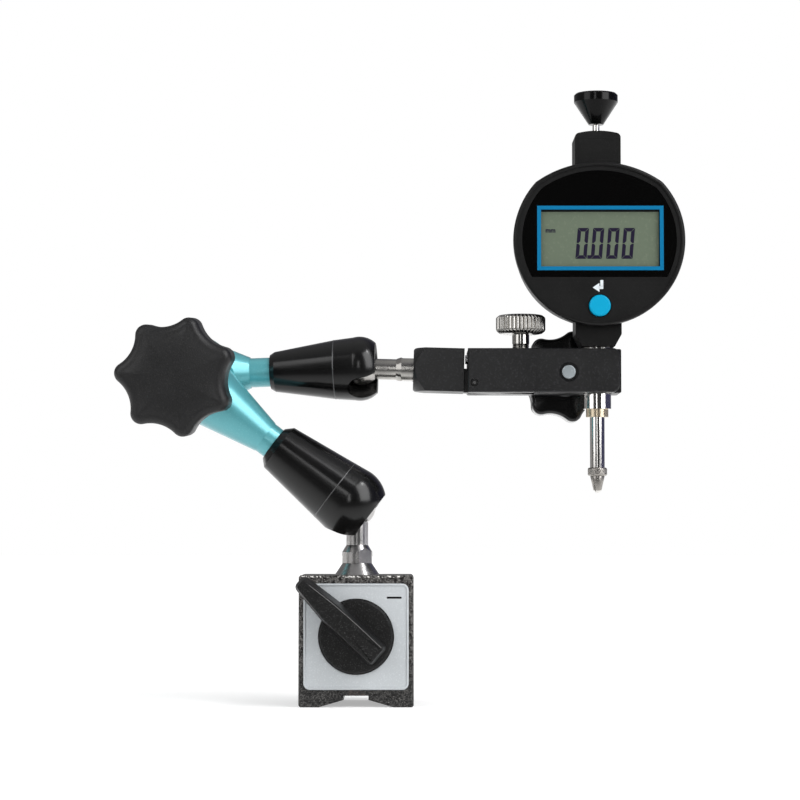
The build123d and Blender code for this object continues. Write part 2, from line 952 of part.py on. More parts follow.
with BuildPart() as upper_socket_cap:
    ball_cap(
        upper_socket,
        (upper_seam, upper_seam_radius),
        (upper_cap_swell, upper_cap_swell_radius),
        (upper_cap_round, upper_cap_round_radius),
        (upper_cap_end, upper_cap_end_radius),
        upper_ball_radius,
        upper_mouth_radius,
        upper_neck_radius + slot_gap,
    )
save(upper_socket_cap.part, "upper_socket_cap")

with BuildPart() as upper_ball_seat:
    ball_seat(upper_socket, upper_ball_radius)
save(upper_ball_seat.part, "upper_ball_seat")

with BuildPart() as upper_push_rod:
    push_rod(upper_arm, upper_arm_length, upper_ball_radius)
save(upper_push_rod.part, "upper_push_rod")

with BuildPart() as upper_wedge:
    wedge(upper_arm, 1)
save(upper_wedge.part, "upper_wedge")


# Elbow clamp: bolt, washers, spring and the star knob
front_plane = Plane(origin=elbow, x_dir=lower_axis, z_dir=-elbow_axis)
rear_plane = Plane(origin=upper_elbow, x_dir=upper_axis, z_dir=elbow_axis)
bolt_rear = head_offset + washer_face + washer_thickness
bolt_front = knob_face + bolt_reach


def washer(plane):
    """Flat washer against a wedge's thick end."""
    with BuildSketch(plane.offset(washer_face)) as ring:
        Circle(washer_radius)
        Circle(bolt_radius + running_gap, mode=Mode.SUBTRACT)
    extrude(ring.sketch, amount=washer_thickness)


with BuildPart() as thrust_washer:
    washer(front_plane)
save(thrust_washer.part, "thrust_washer")

with BuildPart() as bolt_washer:
    washer(rear_plane)
save(bolt_washer.part, "bolt_washer")

with BuildPart() as clamp_bolt:
    round_bar(lower_arm.offset(-bolt_front), bolt_radius, bolt_front + bolt_rear)
    round_bar(lower_arm.offset(bolt_rear), bolt_head_radius, bolt_head_height)
    chamfer(clamp_bolt.faces().sort_by(Axis.Y)[-1].edges(), bolt_head_edge)
    with BuildSketch(lower_arm.offset(bolt_rear + bolt_head_height)):
        RegularPolygon(bolt_socket_size / 2, 6, major_radius=False)
    extrude(amount=-bolt_socket_depth, mode=Mode.SUBTRACT)
save(clamp_bolt.part, "clamp_bolt")

spring_start = wedge_length - washer_face + spring_wire_radius + fit_gap
spring_height = head_offset - 2 * spring_start
with BuildPart() as release_spring:
    with BuildLine() as coil:
        Helix(
            spring_height / spring_turns,
            spring_height,
            spring_mean_radius,
            center=elbow + elbow_axis * spring_start,
            direction=elbow_axis,
        )
    with BuildSketch(Plane(coil.line @ 0, z_dir=coil.line % 0)) as wire:
        Circle(spring_wire_radius)
    sweep(wire.sketch, path=coil.line, is_frenet=True)
save(release_spring.part, "release_spring")

with BuildPart() as star_knob:
    hub_plane = front_plane.offset(knob_face)
    grip_plane = front_plane.offset(knob_face + knob_hub_height)
    grip = star_outline(
        grip_plane,
        knob_tip_radius,
        knob_valley_radius,
        knob_lobe_radius,
        knob_lobe_angle + lower_arm_rise,
    )
    extrude(grip, amount=knob_thickness)
    faces = star_knob.faces().filter_by(GeomType.PLANE).sort_by(Axis.Y)
    fillet(faces[0].edges(), knob_front_round)
    fillet(star_knob.faces().filter_by(GeomType.PLANE).sort_by(Axis.Y)[-1].edges(), knob_back_round)
    round_bar(hub_plane, knob_hub_radius, knob_hub_height)
    round_bar(hub_plane, insert_radius + fit_gap, insert_length + fit_gap, mode=Mode.SUBTRACT)
save(star_knob.part, "star_knob")

with BuildPart() as knob_insert:
    round_bar(hub_plane, insert_radius, insert_length)
    round_bar(
        hub_plane, bolt_radius + running_gap, bolt_reach + joint_gap, mode=Mode.SUBTRACT
    )
save(knob_insert.part, "knob_insert")


# Shank: square bar with a turned nose and the tongue of the clamp head
tongue_drop = shank_size / 2 - tongue_height


def shank_x(distance, height):
    """X from the ball of the plane square to the shank at a distance along it, at one height."""
    lean = math.radians(shank_drop)
    return (distance + height * math.sin(lean)) / math.cos(lean)


def tongue_top(x):
    """Height over the ball of the tongue's top at one X."""
    lean = math.radians(shank_drop)
    return -x * math.tan(lean) - tongue_drop / math.cos(lean)


with BuildPart() as shank_block:
    with BuildSketch(along(shank, shank_start)) as bar:
        Rectangle(shank_size, shank_size)
        fillet(bar.vertices(), shank_edge)
    extrude(amount=shank_end - shank_start)
    nose_rise = math.tan(math.radians(shank_nose_slope))
    turned(
        shank,
        [
            (shank_start - overshoot, shank_nose_radius - nose_rise * overshoot),
            (shank_start - overshoot, shank_size),
            (shank_start + (shank_size - shank_nose_radius) / nose_rise, shank_size),
        ],
        Mode.SUBTRACT,
    )
    tongue_length = tongue_end - shank_end
    with BuildSketch(along(shank, shank_end)) as tongue:
        with Locations((shank_size / 2, 0)):
            Rectangle(tongue_height, tongue_width, align=(Align.MAX, Align.CENTER))
    extrude(tongue.sketch, amount=tongue_length)
    round_bar(
        along(shank, shank_start),
        upper_spigot_radius + running_gap,
        upper_spigot_length + joint_gap,
        mode=Mode.SUBTRACT,
    )
    round_bar(
        head_facing(pivot_back),
        pivot_radius + running_gap,
        pivot_back - pivot_front,
        pivot_x,
        pivot_z,
        Mode.SUBTRACT,
    )
save(shank_block.part, "shank_block")

with BuildPart() as pivot_pin:
    round_bar(head_facing(pivot_back), pivot_radius, pivot_back - pivot_front, pivot_x, pivot_z)
save(pivot_pin.part, "pivot_pin")


# Clamp head: rear block, front jaw, screws and pins
with BuildPart() as clamp_body:
    head_slab((head_left, body_plane, head_bottom), (head_right, body_back, head_top))
    rim = clamp_body.faces().sort_by(Axis.Y)[-1].edges() + clamp_body.edges().filter_by(Axis.Y)
    chamfer(rim, head_bevel)
    head_slab(
        (head_left - overshoot, body_plane - overshoot, head_bottom - overshoot),
        (tongue_end + slot_end_gap, tongue_width / 2 + slot_side_gap, head_bottom + slot_height),
        Mode.SUBTRACT,
    )
    seat = stem_radius + running_gap
    round_bar(head_level(head_bottom), seat, head_height, gauge_x, mode=Mode.SUBTRACT)
    head_slab(
        (gauge_x - seat, body_plane - overshoot, head_bottom - overshoot),
        (gauge_x + seat, 0, head_top + overshoot),
        Mode.SUBTRACT,
    )
    round_bar(
        head_facing(body_back),
        clamp_screw_radius + clamp_hole_gap,
        body_back + body_front,
        clamp_x,
        clamp_z,
        Mode.SUBTRACT,
    )
    round_bar(
        head_facing(body_back),
        pivot_radius + fit_gap,
        body_back + body_front,
        pivot_x,
        pivot_z,
        Mode.SUBTRACT,
    )
    round_bar(
        head_level(head_bottom + slot_height),
        fine_shaft_radius + running_gap,
        head_height - slot_height,
        fine_screw_x,
        mode=Mode.SUBTRACT,
    )
    round_bar(
        head_level(head_bottom),
        set_screw_radius + fit_gap,
        set_screw_length + fit_gap,
        set_screw_x,
        mode=Mode.SUBTRACT,
    )
    round_bar(
        head_side(head_left),
        preload_radius + fit_gap,
        preload_length + fit_gap,
        0,
        preload_z,
        Mode.SUBTRACT,
    )
save(clamp_body.part, "clamp_body")

with BuildPart() as front_jaw:
    head_slab((head_left, -jaw_front, head_bottom), (jaw_right, jaw_plane, head_top))
    ends = front_jaw.edges().filter_by(Axis.Y).group_by(Axis.X)
    fillet(ends[-1], jaw_corner)
    chamfer(front_jaw.faces().sort_by(Axis.Y)[0].edges(), head_bevel)
    round_bar(
        head_facing(jaw_plane),
        clamp_screw_radius + clamp_hole_gap,
        jaw_front - jaw_back,
        clamp_x,
        clamp_z,
        Mode.SUBTRACT,
    )
    bolt_mouth = front_jaw.edges().filter_by(GeomType.CIRCLE).filter_by(
        lambda edge: abs(edge.arc_center.X - upper_ball.X - clamp_x) < fit_gap
    )
    chamfer(bolt_mouth.sort_by(Axis.Y)[0], clamp_hole_bevel)
    round_bar(
        head_facing(jaw_plane),
        pivot_radius + ball_gap,
        jaw_front - jaw_back,
        pivot_x,
        pivot_z,
        Mode.SUBTRACT,
    )
save(front_jaw.part, "front_jaw")

with BuildPart() as preload_pin:
    preload_nose = shank_x(shank_end, preload_z + preload_radius) + preload_nose_gap
    round_bar(
        head_side(preload_nose),
        preload_radius,
        head_left + preload_length - preload_nose,
        0,
        preload_z,
    )
save(preload_pin.part, "preload_pin")

with BuildPart() as set_screw:
    round_bar(head_level(head_bottom), set_screw_radius, set_screw_length, set_screw_x)
    with BuildSketch(head_level(head_bottom)):
        with Locations((set_screw_x, 0)):
            RegularPolygon(set_screw_socket / 2, 6, major_radius=False)
    extrude(amount=set_screw_socket_depth, mode=Mode.SUBTRACT)
save(set_screw.part, "set_screw")

with BuildPart() as fine_screw:
    fine_tip = tongue_top(fine_screw_x) + fine_tip_gap
    turned(
        upright(fine_screw_x),
        [
            (fine_tip, 0),
            (fine_tip, fine_shaft_radius),
            (fine_head_bottom, fine_shaft_radius),
            (fine_head_bottom, fine_head_radius - fine_head_bevel),
            (fine_head_bottom + fine_head_bevel, fine_head_radius),
            (fine_head_top - fine_head_bevel, fine_head_radius),
            (fine_head_top, fine_head_radius - fine_head_bevel),
            (fine_head_top, 0),
        ],
    )
    with BuildSketch(head_level(fine_head_bottom)):
        with Locations((fine_screw_x, 0)):
            with PolarLocations(fine_head_radius, fine_flutes):
                Circle(fine_flute_radius)
    extrude(amount=fine_head_height, mode=Mode.SUBTRACT)
save(fine_screw.part, "fine_screw")

with BuildPart() as clamp_knob:
    rear_hub = Plane(
        origin=upper_ball + Vector(clamp_x, body_back + running_gap, clamp_z),
        x_dir=(1, 0, 0),
        z_dir=(0, 1, 0),
    )
    rear_grip = star_outline(
        rear_hub.offset(clamp_hub_height), clamp_knob_tip, clamp_knob_valley, clamp_knob_lobe, 180
    )
    extrude(rear_grip, amount=clamp_knob_thickness)
    grip_faces = clamp_knob.faces().filter_by(GeomType.PLANE).sort_by(Axis.Y)
    fillet(grip_faces[-1].edges(), clamp_knob_round)
    fillet(clamp_knob.faces().filter_by(GeomType.PLANE).sort_by(Axis.Y)[0].edges(), clamp_knob_round / 2)
    round_bar(rear_hub, clamp_hub_radius, clamp_hub_height)
    round_bar(rear_hub, clamp_screw_radius + fit_gap, clamp_screw_grip + fit_gap, mode=Mode.SUBTRACT)
save(clamp_knob.part, "clamp_knob")

with BuildPart() as clamp_screw:
    screw_back = body_back + running_gap + clamp_screw_grip
    screw_front = clamp_screw_inset - jaw_front
    round_bar(head_facing(screw_back), clamp_screw_radius, screw_back - screw_front, clamp_x, clamp_z)
    chamfer(clamp_screw.faces().sort_by(Axis.Y)[0].edges(), clamp_screw_edge)
save(clamp_screw.part, "clamp_screw")


# Digital indicator: case with its two boxes, bezel, lens and display
def box_outline(depth, top, lower=False):
    """Outline of the box above the dial, or of the tapered one below it."""
    half = box_width / 2
    with BuildSketch(head_facing(depth)) as outline:
        with BuildLine():
            if lower:
                Polyline(
                    (gauge_x - half, dial_z),
                    (gauge_x - half, lower_box_taper_top),
                    (gauge_x - half + lower_box_taper, lower_box_bottom),
                    (gauge_x + half - lower_box_taper, lower_box_bottom),
                    (gauge_x + half, lower_box_taper_top),
                    (gauge_x + half, dial_z),
                    close=True,
                )
            else:
                ThreePointArc(
                    (gauge_x - half, top - upper_box_sag),
                    (gauge_x, top),
                    (gauge_x + half, top - upper_box_sag),
                )
                Polyline(
                    (gauge_x + half, top - upper_box_sag),
                    (gauge_x + half, dial_z),
                    (gauge_x - half, dial_z),
                    (gauge_x - half, top - upper_box_sag),
                )
        make_face()
        if not lower:
            fillet(outline.vertices().group_by(Axis.Z)[-1], box_corner)
    return outline.sketch


boss_places = [
    (gauge_x + x, dial_z + z) for x in (-boss_x, boss_x) for z in (-boss_z, boss_z)
]
with BuildPart() as gauge_case:
    extrude(dial_outline(case_back, case_inset), amount=case_back - bezel_back)
    fillet(gauge_case.faces().sort_by(Axis.Y)[-1].edges(), case_edge)
    extrude(box_outline(box_back, upper_box_top), amount=box_back + upper_box_front)
    extrude(box_outline(box_back, 0, True), amount=box_back + lower_box_front)
    extrude(
        dial_outline(case_back, case_inset + cover_inset), amount=cover_thickness, mode=Mode.SUBTRACT
    )
    extrude(
        dial_outline(cover_front, case_inset + case_wall),
        amount=cover_front - bezel_back,
        mode=Mode.SUBTRACT,
    )
    with BuildSketch(head_facing(cover_front)):
        with Locations(*boss_places):
            Circle(boss_radius)
    extrude(amount=cover_front - bezel_back)
    with BuildSketch(head_facing(cover_front)):
        with Locations(*boss_places):
            Circle(cover_screw_radius + fit_gap)
    extrude(amount=cover_screw_length, mode=Mode.SUBTRACT)
    button_well = button_flange_gap + button_travel + joint_gap
    round_bar(
        head_facing(bezel_back + button_well),
        button_radius + button_gap,
        button_well,
        gauge_x,
        button_z,
        Mode.SUBTRACT,
    )
    for height, radius, length in (
        (dial_z, return_bore_radius, spring_ceiling - dial_z),
        (dial_z, plunger_thin_radius + running_gap, upper_box_rise),
        (lower_box_bottom, stem_radius + fit_gap, stem_grip),
        (lower_box_bottom, stem_bore_radius, dial_rise),
    ):
        round_bar(head_level(height), radius, length, gauge_x, mode=Mode.SUBTRACT)
save(gauge_case.part, "gauge_case")

window_size = (window_width, window_height)
panel_size = (window_width + 2 * panel_margin, window_height + 2 * panel_margin)
lens_front = dial_face + lens_recess
lens_back = lens_front + lens_thickness


def lens_outline(depth, gap):
    """Outline of the lens, or of its recess, cut straight along the bottom."""
    whole = dial_outline(depth, lens_inset + gap)
    with BuildSketch(head_facing(depth)) as outline:
        with Locations((gauge_x, lens_bottom + gap)):
            Rectangle(4 * dial_radius, 2 * dial_radius, align=(Align.CENTER, Align.MIN))
    return outline.sketch & whole


board_posts = [
    (gauge_x + x, board_z + z)
    for x in (post_inset - board_width / 2, board_width / 2 - post_inset)
    for z in (post_inset - board_height / 2, board_height / 2 - post_inset)
]
with BuildPart() as gauge_bezel:
    extrude(dial_outline(bezel_back), amount=bezel_thickness)
    fillet(gauge_bezel.faces().sort_by(Axis.Y)[0].edges(), bezel_edge)
    extrude(dial_outline(dial_face, bezel_step_inset), amount=bezel_step_depth, mode=Mode.SUBTRACT)
    extrude(lens_outline(lens_back, 0), amount=lens_back - dial_face, mode=Mode.SUBTRACT)
    with BuildSketch(head_facing(bezel_back)):
        with Locations((window_x, window_z)):
            Rectangle(panel_size[0] + 2 * fit_gap, panel_size[1] + 2 * fit_gap)
        with Locations((gauge_x, button_z)):
            Circle(button_radius + button_gap)
    extrude(amount=bezel_thickness, mode=Mode.SUBTRACT)
    with BuildSketch(head_facing(board_plane)):
        with Locations(*board_posts):
            Circle(post_radius)
    extrude(amount=board_plane - bezel_back)
save(gauge_bezel.part, "gauge_bezel")

with BuildPart() as front_lens:
    extrude(lens_outline(lens_back, fit_gap), amount=lens_thickness)
    with BuildSketch(head_facing(lens_back)):
        with Locations((window_x, window_z)):
            Rectangle(*window_size)
    extrude(amount=lens_thickness, mode=Mode.SUBTRACT)
save(front_lens.part, "front_lens")

with BuildPart() as lcd_panel:
    with BuildSketch(head_facing(lens_back + panel_gap + panel_thickness)):
        with Locations((window_x, window_z)):
            Rectangle(*panel_size)
    extrude(amount=panel_thickness)
save(lcd_panel.part, "lcd_panel")

with BuildPart() as set_button:
    flange_front = bezel_back + button_flange_gap
    button_face = dial_face - button_stand_out
    round_bar(head_facing(flange_front), button_radius, flange_front - button_face, gauge_x, button_z)
    fillet(set_button.faces().sort_by(Axis.Y)[0].edges(), button_edge)
    with BuildSketch(head_facing(flange_front + button_flange_height)):
        with Locations((gauge_x, button_z)):
            Rectangle(button_flange_width, button_flange_drop)
    extrude(amount=button_flange_height)
save(set_button.part, "set_button")

with BuildPart() as circuit_board:
    with BuildSketch(head_facing(board_plane + board_thickness)):
        with Locations((gauge_x, board_z)):
            Rectangle(board_width, board_height)
        with Locations((gauge_x, board_tab_bottom)):
            Rectangle(board_tab_width, board_z - board_tab_bottom, align=(Align.CENTER, Align.MIN))
    extrude(amount=board_thickness)
    round_bar(head_facing(board_plane), switch_dome_radius, switch_dome_height, gauge_x, button_z)
save(circuit_board.part, "circuit_board")

with BuildPart() as encoder_head:
    encoder_back = -scale_seat - scale_thickness - encoder_gap
    encoder_plane = board_plane + board_thickness
    with BuildSketch(head_facing(encoder_back)):
        with Locations((gauge_x, encoder_z)):
            Rectangle(encoder_width, encoder_height)
    extrude(amount=encoder_back - encoder_plane)
save(encoder_head.part, "encoder_head")

with BuildPart() as battery_cell:
    round_bar(
        head_facing(cover_front - battery_gap), battery_radius, battery_thickness, gauge_x, battery_z
    )
    chamfer(battery_cell.faces().filter_by(GeomType.PLANE).edges(), battery_edge)
save(battery_cell.part, "battery_cell")

with BuildPart() as back_cover:
    extrude(
        dial_outline(case_back, case_inset + cover_inset + fit_gap), amount=cover_thickness
    )
    with BuildSketch(head_facing(case_back)):
        with Locations(*boss_places):
            Circle(cover_screw_head + fit_gap)
    extrude(amount=cover_screw_head_height, mode=Mode.SUBTRACT)
    with BuildSketch(head_facing(case_back)):
        with Locations(*boss_places):
            Circle(cover_screw_radius + fit_gap)
    extrude(amount=cover_thickness, mode=Mode.SUBTRACT)
save(back_cover.part, "back_cover")

with BuildPart() as cover_screws:
    with BuildSketch(head_facing(case_back)):
        with Locations(*boss_places):
            Circle(cover_screw_head)
    extrude(amount=cover_screw_head_height)
    with BuildSketch(head_facing(case_back)):
        with Locations(*boss_places):
            Circle(cover_screw_radius)
    extrude(amount=cover_thickness + cover_screw_length - fit_gap)
save(cover_screws.part, "cover_screws")

with BuildPart() as stem:
    stem_length = stem_top - stem_bottom
    round_bar(head_level(stem_bottom), stem_radius, stem_length, gauge_x)
    round_bar(head_level(stem_bottom), stem_bore_radius, stem_length, gauge_x, mode=Mode.SUBTRACT)
save(stem.part, "stem")

with BuildPart() as stem_ring:
    turned(
        upright(gauge_x),
        [
            (ring_bottom, plunger_radius + running_gap),
            (ring_bottom, ring_radius),
            (stem_bottom, ring_radius),
            (stem_bottom, stem_bore_radius - fit_gap),
            (stem_bottom + ring_grip, stem_bore_radius - fit_gap),
            (stem_bottom + ring_grip, plunger_radius + running_gap),
        ],
    )
save(stem_ring.part, "stem_ring")


# Indicator spindle
spindle = upright(gauge_x)
with BuildPart() as plunger:
    turned(
        spindle,
        [
            (plunger_bottom, 0),
            (plunger_bottom, plunger_radius),
            (plunger_shoulder, plunger_radius),
            (plunger_shoulder, plunger_thin_radius),
            (plunger_top, plunger_thin_radius),
            (plunger_top, 0),
        ],
    )
    head_slab(
        (gauge_x - plunger_radius, -2 * plunger_radius, scale_bottom),
        (gauge_x + plunger_radius, -scale_seat, scale_top),
        Mode.SUBTRACT,
    )
    round_bar(
        head_level(plunger_bottom),
        point_thread_radius + fit_gap,
        point_thread_length + fit_gap,
        gauge_x,
        mode=Mode.SUBTRACT,
    )
save(plunger.part, "plunger")

with BuildPart() as measuring_scale:
    head_slab(
        (gauge_x - scale_width / 2, -scale_seat - scale_thickness, scale_bottom + fit_gap),
        (gauge_x + scale_width / 2, -scale_seat, scale_top - fit_gap),
    )
save(measuring_scale.part, "measuring_scale")

ball_centre = upper_ball + Vector(gauge_x, 0, contact_bottom + contact_ball_radius)
with BuildPart() as contact_point:
    turned(
        spindle,
        [
            (point_tip_bottom, 0),
            (point_tip_bottom, point_tip_radius),
            (collar_bottom, plunger_radius),
            (collar_bottom, collar_radius),
            (plunger_bottom, collar_radius),
            (plunger_bottom, point_thread_radius),
            (plunger_bottom + point_thread_length, point_thread_radius),
            (plunger_bottom + point_thread_length, 0),
        ],
    )
    with Locations(ball_centre):
        Sphere(contact_ball_radius + fit_gap, mode=Mode.SUBTRACT)
save(contact_point.part, "contact_point")

with BuildPart() as contact_ball:
    with Locations(ball_centre):
        Sphere(contact_ball_radius)
save(contact_ball.part, "contact_ball")

with BuildPart() as lift_cap:
    turned(
        spindle,
        [
            (cap_neck_bottom, plunger_thin_radius + fit_gap),
            (cap_neck_bottom, cap_neck_radius),
            (cap_rim_bottom, cap_rim_radius),
            (cap_top - cap_rim_edge, cap_rim_radius),
            (cap_top, cap_rim_radius - cap_rim_edge),
            (cap_top, 0),
            (plunger_top + fit_gap, 0),
            (plunger_top + fit_gap, plunger_thin_radius + fit_gap),
        ],
    )
save(lift_cap.part, "lift_cap")

coil_start = plunger_shoulder + return_wire_radius + fit_gap
coil_height = spring_ceiling - plunger_shoulder - 2 * (return_wire_radius + fit_gap)
with BuildPart() as return_spring:
    with BuildLine() as spring_line:
        Helix(
            coil_height / return_turns,
            coil_height,
            return_mean_radius,
            center=upper_ball + Vector(gauge_x, 0, coil_start),
        )
    with BuildSketch(Plane(spring_line.line @ 0, z_dir=spring_line.line % 0)) as spring_wire:
        Circle(return_wire_radius)
    sweep(spring_wire.sketch, path=spring_line.line, is_frenet=True)
save(return_spring.part, "return_spring")
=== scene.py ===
"""Looks of the magnetic indicator stand: finishes, grips, screw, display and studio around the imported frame.

Sizes are in millimetres in the frame's own directions, with X to the right, Y away from the viewer, Z up and
the origin on the floor under the ball stud. Meshes and reliefs are in metres.
"""

import logging
import math
from dataclasses import dataclass, field
from enum import Enum
from functools import cache

import bpy
import numpy as np
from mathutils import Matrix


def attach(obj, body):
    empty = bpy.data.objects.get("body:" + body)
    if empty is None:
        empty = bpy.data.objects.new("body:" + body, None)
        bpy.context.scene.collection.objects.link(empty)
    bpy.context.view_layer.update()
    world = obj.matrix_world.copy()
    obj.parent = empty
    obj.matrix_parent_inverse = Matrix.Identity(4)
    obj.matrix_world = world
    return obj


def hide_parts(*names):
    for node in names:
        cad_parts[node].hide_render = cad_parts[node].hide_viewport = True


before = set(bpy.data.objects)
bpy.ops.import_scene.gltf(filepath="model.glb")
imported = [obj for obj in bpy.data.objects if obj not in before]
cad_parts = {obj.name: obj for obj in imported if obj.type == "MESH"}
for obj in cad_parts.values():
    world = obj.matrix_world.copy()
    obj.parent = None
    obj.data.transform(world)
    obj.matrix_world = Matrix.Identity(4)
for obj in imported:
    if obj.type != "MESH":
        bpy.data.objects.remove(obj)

logging.basicConfig(level=logging.INFO, format="%(name)s: %(message)s")
log = logging.getLogger("indicator_stand")

MM = 0.001
PRINT_RISE = 0.03
SOFT_BAND = (0.3, 0.7)
RECTANGLE = np.array([[1, 1], [-1, 1], [-1, -1], [1, -1]], float)
Point = tuple[float, float, float]
Spot = tuple[float, float]
Colour = tuple[float, float, float]
Socket = bpy.types.NodeSocket
Feeds = dict[str | int, object]


class Slot(Enum):
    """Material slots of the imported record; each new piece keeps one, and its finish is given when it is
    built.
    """

    PLATE = "plate"
    SWITCH = "switch_plastic"
    BLACK_HOUSING = "black_anodised"
    KNOB = "knob_plastic"
    REAR_KNOB = "knob_gloss"
    CHROME = "chrome"
    CASE = "case_plastic"
    LENS = "lens_black"
    DISPLAY = "display"
    BUTTON = "button_blue"
    BLOCK = "black_block"


class Ends(Enum):
    """How the rings of a surface end."""

    CLOSED = "closed"
    JOINED = "joined"


def unit(vector: np.ndarray) -> np.ndarray:
    """A vector of length one in the same direction."""
    return np.asarray(vector, float) / np.linalg.norm(vector)


def grey(level: float) -> Colour:
    """A neutral colour."""
    return (level,) * 3


def full_turn(steps: int) -> np.ndarray:
    """Angles of a full turn in even steps, without its end."""
    return np.linspace(0.0, 2 * math.pi, steps, endpoint=False)


def around(angle: np.ndarray) -> np.ndarray:
    """Directions (cos, sin) at each angle."""
    return np.stack([np.cos(angle), np.sin(angle)], axis=-1)


@dataclass(frozen=True)
class Place:
    """A spot in the frame with the directions of a shape's own x and z."""

    origin: Point = (0.0, 0.0, 0.0)
    x_dir: Point = (1.0, 0.0, 0.0)
    z_dir: Point = (0.0, 0.0, 1.0)

    def put(self, points: np.ndarray) -> np.ndarray:
        """Carry a shape's own points into the frame: origin + x along x_dir + y across + z along z_dir.

        Args:
            points: Array of points in millimetres, with x, y and z last.

        Returns:
            The points in the frame, in metres, in the same array shape.
        """
        up = unit(self.z_dir)
        right = np.asarray(self.x_dir, float)
        right = unit(right - up * (right @ up))
        return (np.asarray(self.origin) + points @ np.stack([right, np.cross(up, right), up])) * MM


def facing(x: float, depth: float, z: float) -> Place:
    """A place at a depth that looks at the viewer."""
    return Place((x, depth, z), (1, 0, 0), (0, -1, 0))


@dataclass(frozen=True)
class Outline:
    """A closed line in a plane, given as points with their outward normals."""

    points: np.ndarray
    normals: np.ndarray


def circle(radius: float, steps: int) -> Outline:
    """A circle: point = radius x (cos, sin) of the angle."""
    normals = around(full_turn(steps))
    return Outline(normals * radius, normals)


def fluted(radius: float, depth: float, flutes: int, steps: int, fullness: float = 0.8) -> Outline:
    """A knurled circle whose radius falls by the depth between rounded ridges.

    The radius at an angle is radius - depth x (1 - |cos(flutes x angle / 2)| to the power of the fullness).

    Args:
        radius: Radius over the ridges.
        depth: Depth of the grooves.
        flutes: Number of grooves.
        steps: Points per groove.
        fullness: How blunt the ridges are, less than one for round ones.

    Returns:
        The outline, with normals straight out from the middle.
    """
    angle = full_turn(flutes * steps)
    reach = radius - depth * (1 - np.abs(np.cos(angle * flutes / 2)) ** fullness)
    return Outline(around(angle) * reach[:, None], around(angle))


def rounded_polygon(corners: np.ndarray, radii: np.ndarray, steps: int = 8) -> Outline:
    """A polygon with round corners: each arc is its centre + radius x (cos, sin) between two edge normals.

    The centre lies inside the corner by radius x (n + m) / (1 + n . m), where n and m are the edge normals.

    Args:
        corners: Corners, counter-clockwise.
        radii: Radius at each corner.
        steps: Points on each corner arc.

    Returns:
        The outline.
    """
    edge = np.roll(corners, -1, axis=0) - corners
    after = np.stack([edge[:, 1], -edge[:, 0]], axis=-1) / np.linalg.norm(edge, axis=-1, keepdims=True)
    before = np.roll(after, 1, axis=0)
    centres = corners - radii[:, None] * (before + after) / (1 + (before * after).sum(-1, keepdims=True))
    first = np.arctan2(before[:, 1], before[:, 0])
    turn = (np.arctan2(after[:, 1], after[:, 0]) - first) % (2 * math.pi)
    normals = around(first[:, None] + turn[:, None] * np.linspace(0.0, 1.0, steps))
    points = centres[:, None] + normals * radii[:, None, None]
    return Outline(points.reshape(-1, 2), normals.reshape(-1, 2))


def rounded_box(width: float, height: float, corner: float, steps: int = 8) -> Outline:
    """A rectangle with round corners of one radius."""
    return rounded_polygon(RECTANGLE * [width / 2, height / 2], np.full(4, corner), steps)


def star(tip: float, valley: float, lobe: float, lobes: int, first: float, steps: int = 14) -> Outline:
    """A lobed grip: tip arcs and valley arcs that meet in one tangent.

    Each tip arc is its centre + lobe x (cos, sin); each valley arc is its centre, outside the grip, minus
    hollow x (cos, sin), where the hollow's radius makes the two arcs touch.

    Args:
        tip: Radius over the lobes.
        valley: Radius in the valleys.
        lobe: Radius of a lobe's arc.
        lobes: Number of lobes.
        first: Angle of the first lobe in degrees.
        steps: Points on each arc.

    Returns:
        The grip's outline.
    """
    half = math.pi / lobes
    reach = tip - lobe
    swing = reach * math.cos(half)
    hollow = (valley**2 + reach**2 - 2 * swing * valley - lobe**2) / (2 * (lobe - valley + swing))
    far = valley + hollow
    tip_centre = np.array([reach, 0.0])
    valley_centre = np.array([far * math.cos(half), far * math.sin(half)])
    meet = math.atan2(*(valley_centre - tip_centre)[::-1])
    tip_normals = around(np.linspace(-meet, meet, steps, endpoint=False))
    back_normals = around(np.linspace(meet + math.pi, 2 * half - meet + math.pi, steps, endpoint=False))
    points = np.concatenate([tip_centre + tip_normals * lobe, valley_centre + back_normals * hollow])
    normals = np.concatenate([tip_normals, -back_normals])
    turn = math.radians(first) + 2 * half * np.arange(lobes)
    spin = np.stack([np.cos(turn), -np.sin(turn), np.sin(turn), np.cos(turn)], axis=-1).reshape(-1, 2, 2)
    return Outline(*(np.einsum("kij,nj->kni", spin, line).reshape(-1, 2) for line in (points, normals)))


def lifted(flat: np.ndarray, height: np.ndarray) -> np.ndarray:
    """Rings of flat rows of points, each row at its own height."""
    lift = np.broadcast_to(np.asarray(height)[:, None, None], flat.shape[:2] + (1,))
    return np.concatenate([flat, lift], axis=-1)


def swept(outline: Outline, profile: np.ndarray) -> np.ndarray:
    """Rings of an outline: a point is outline - normal x inset, at the height along z, for each profile row.

    Args:
        outline: The line that is carried.
        profile: Rows of inset and height.

    Returns:
        Rings as an array of rows by points by three.
    """
    inset, height = np.asarray(profile, float).T
    return lifted(outline.points - outline.normals * inset[:, None, None], height)


def lathe(profile: np.ndarray, steps: int = 64) -> np.ndarray:
    """Rings of a turned shape: each profile row is a circle of that radius at that height.

    Args:
        profile: Rows of radius and height.
        steps: Points round each circle.

    Returns:
        Rings as an array of rows by points by three.
    """
    radius, height = np.asarray(profile, float).T
    return swept(circle(0.0, steps), np.stack([-radius, height], axis=-1))


def quarter_round(radius: float, steps: int = 6) -> np.ndarray:
    """A quarter arc from a flat face to a side, as rows of inset and drop: radius x (1 - sin, 1 - cos)."""
    angle = np.linspace(0.0, math.pi / 2, steps)
    return radius * np.stack([1 - np.sin(angle), 1 - np.cos(angle)], axis=-1)


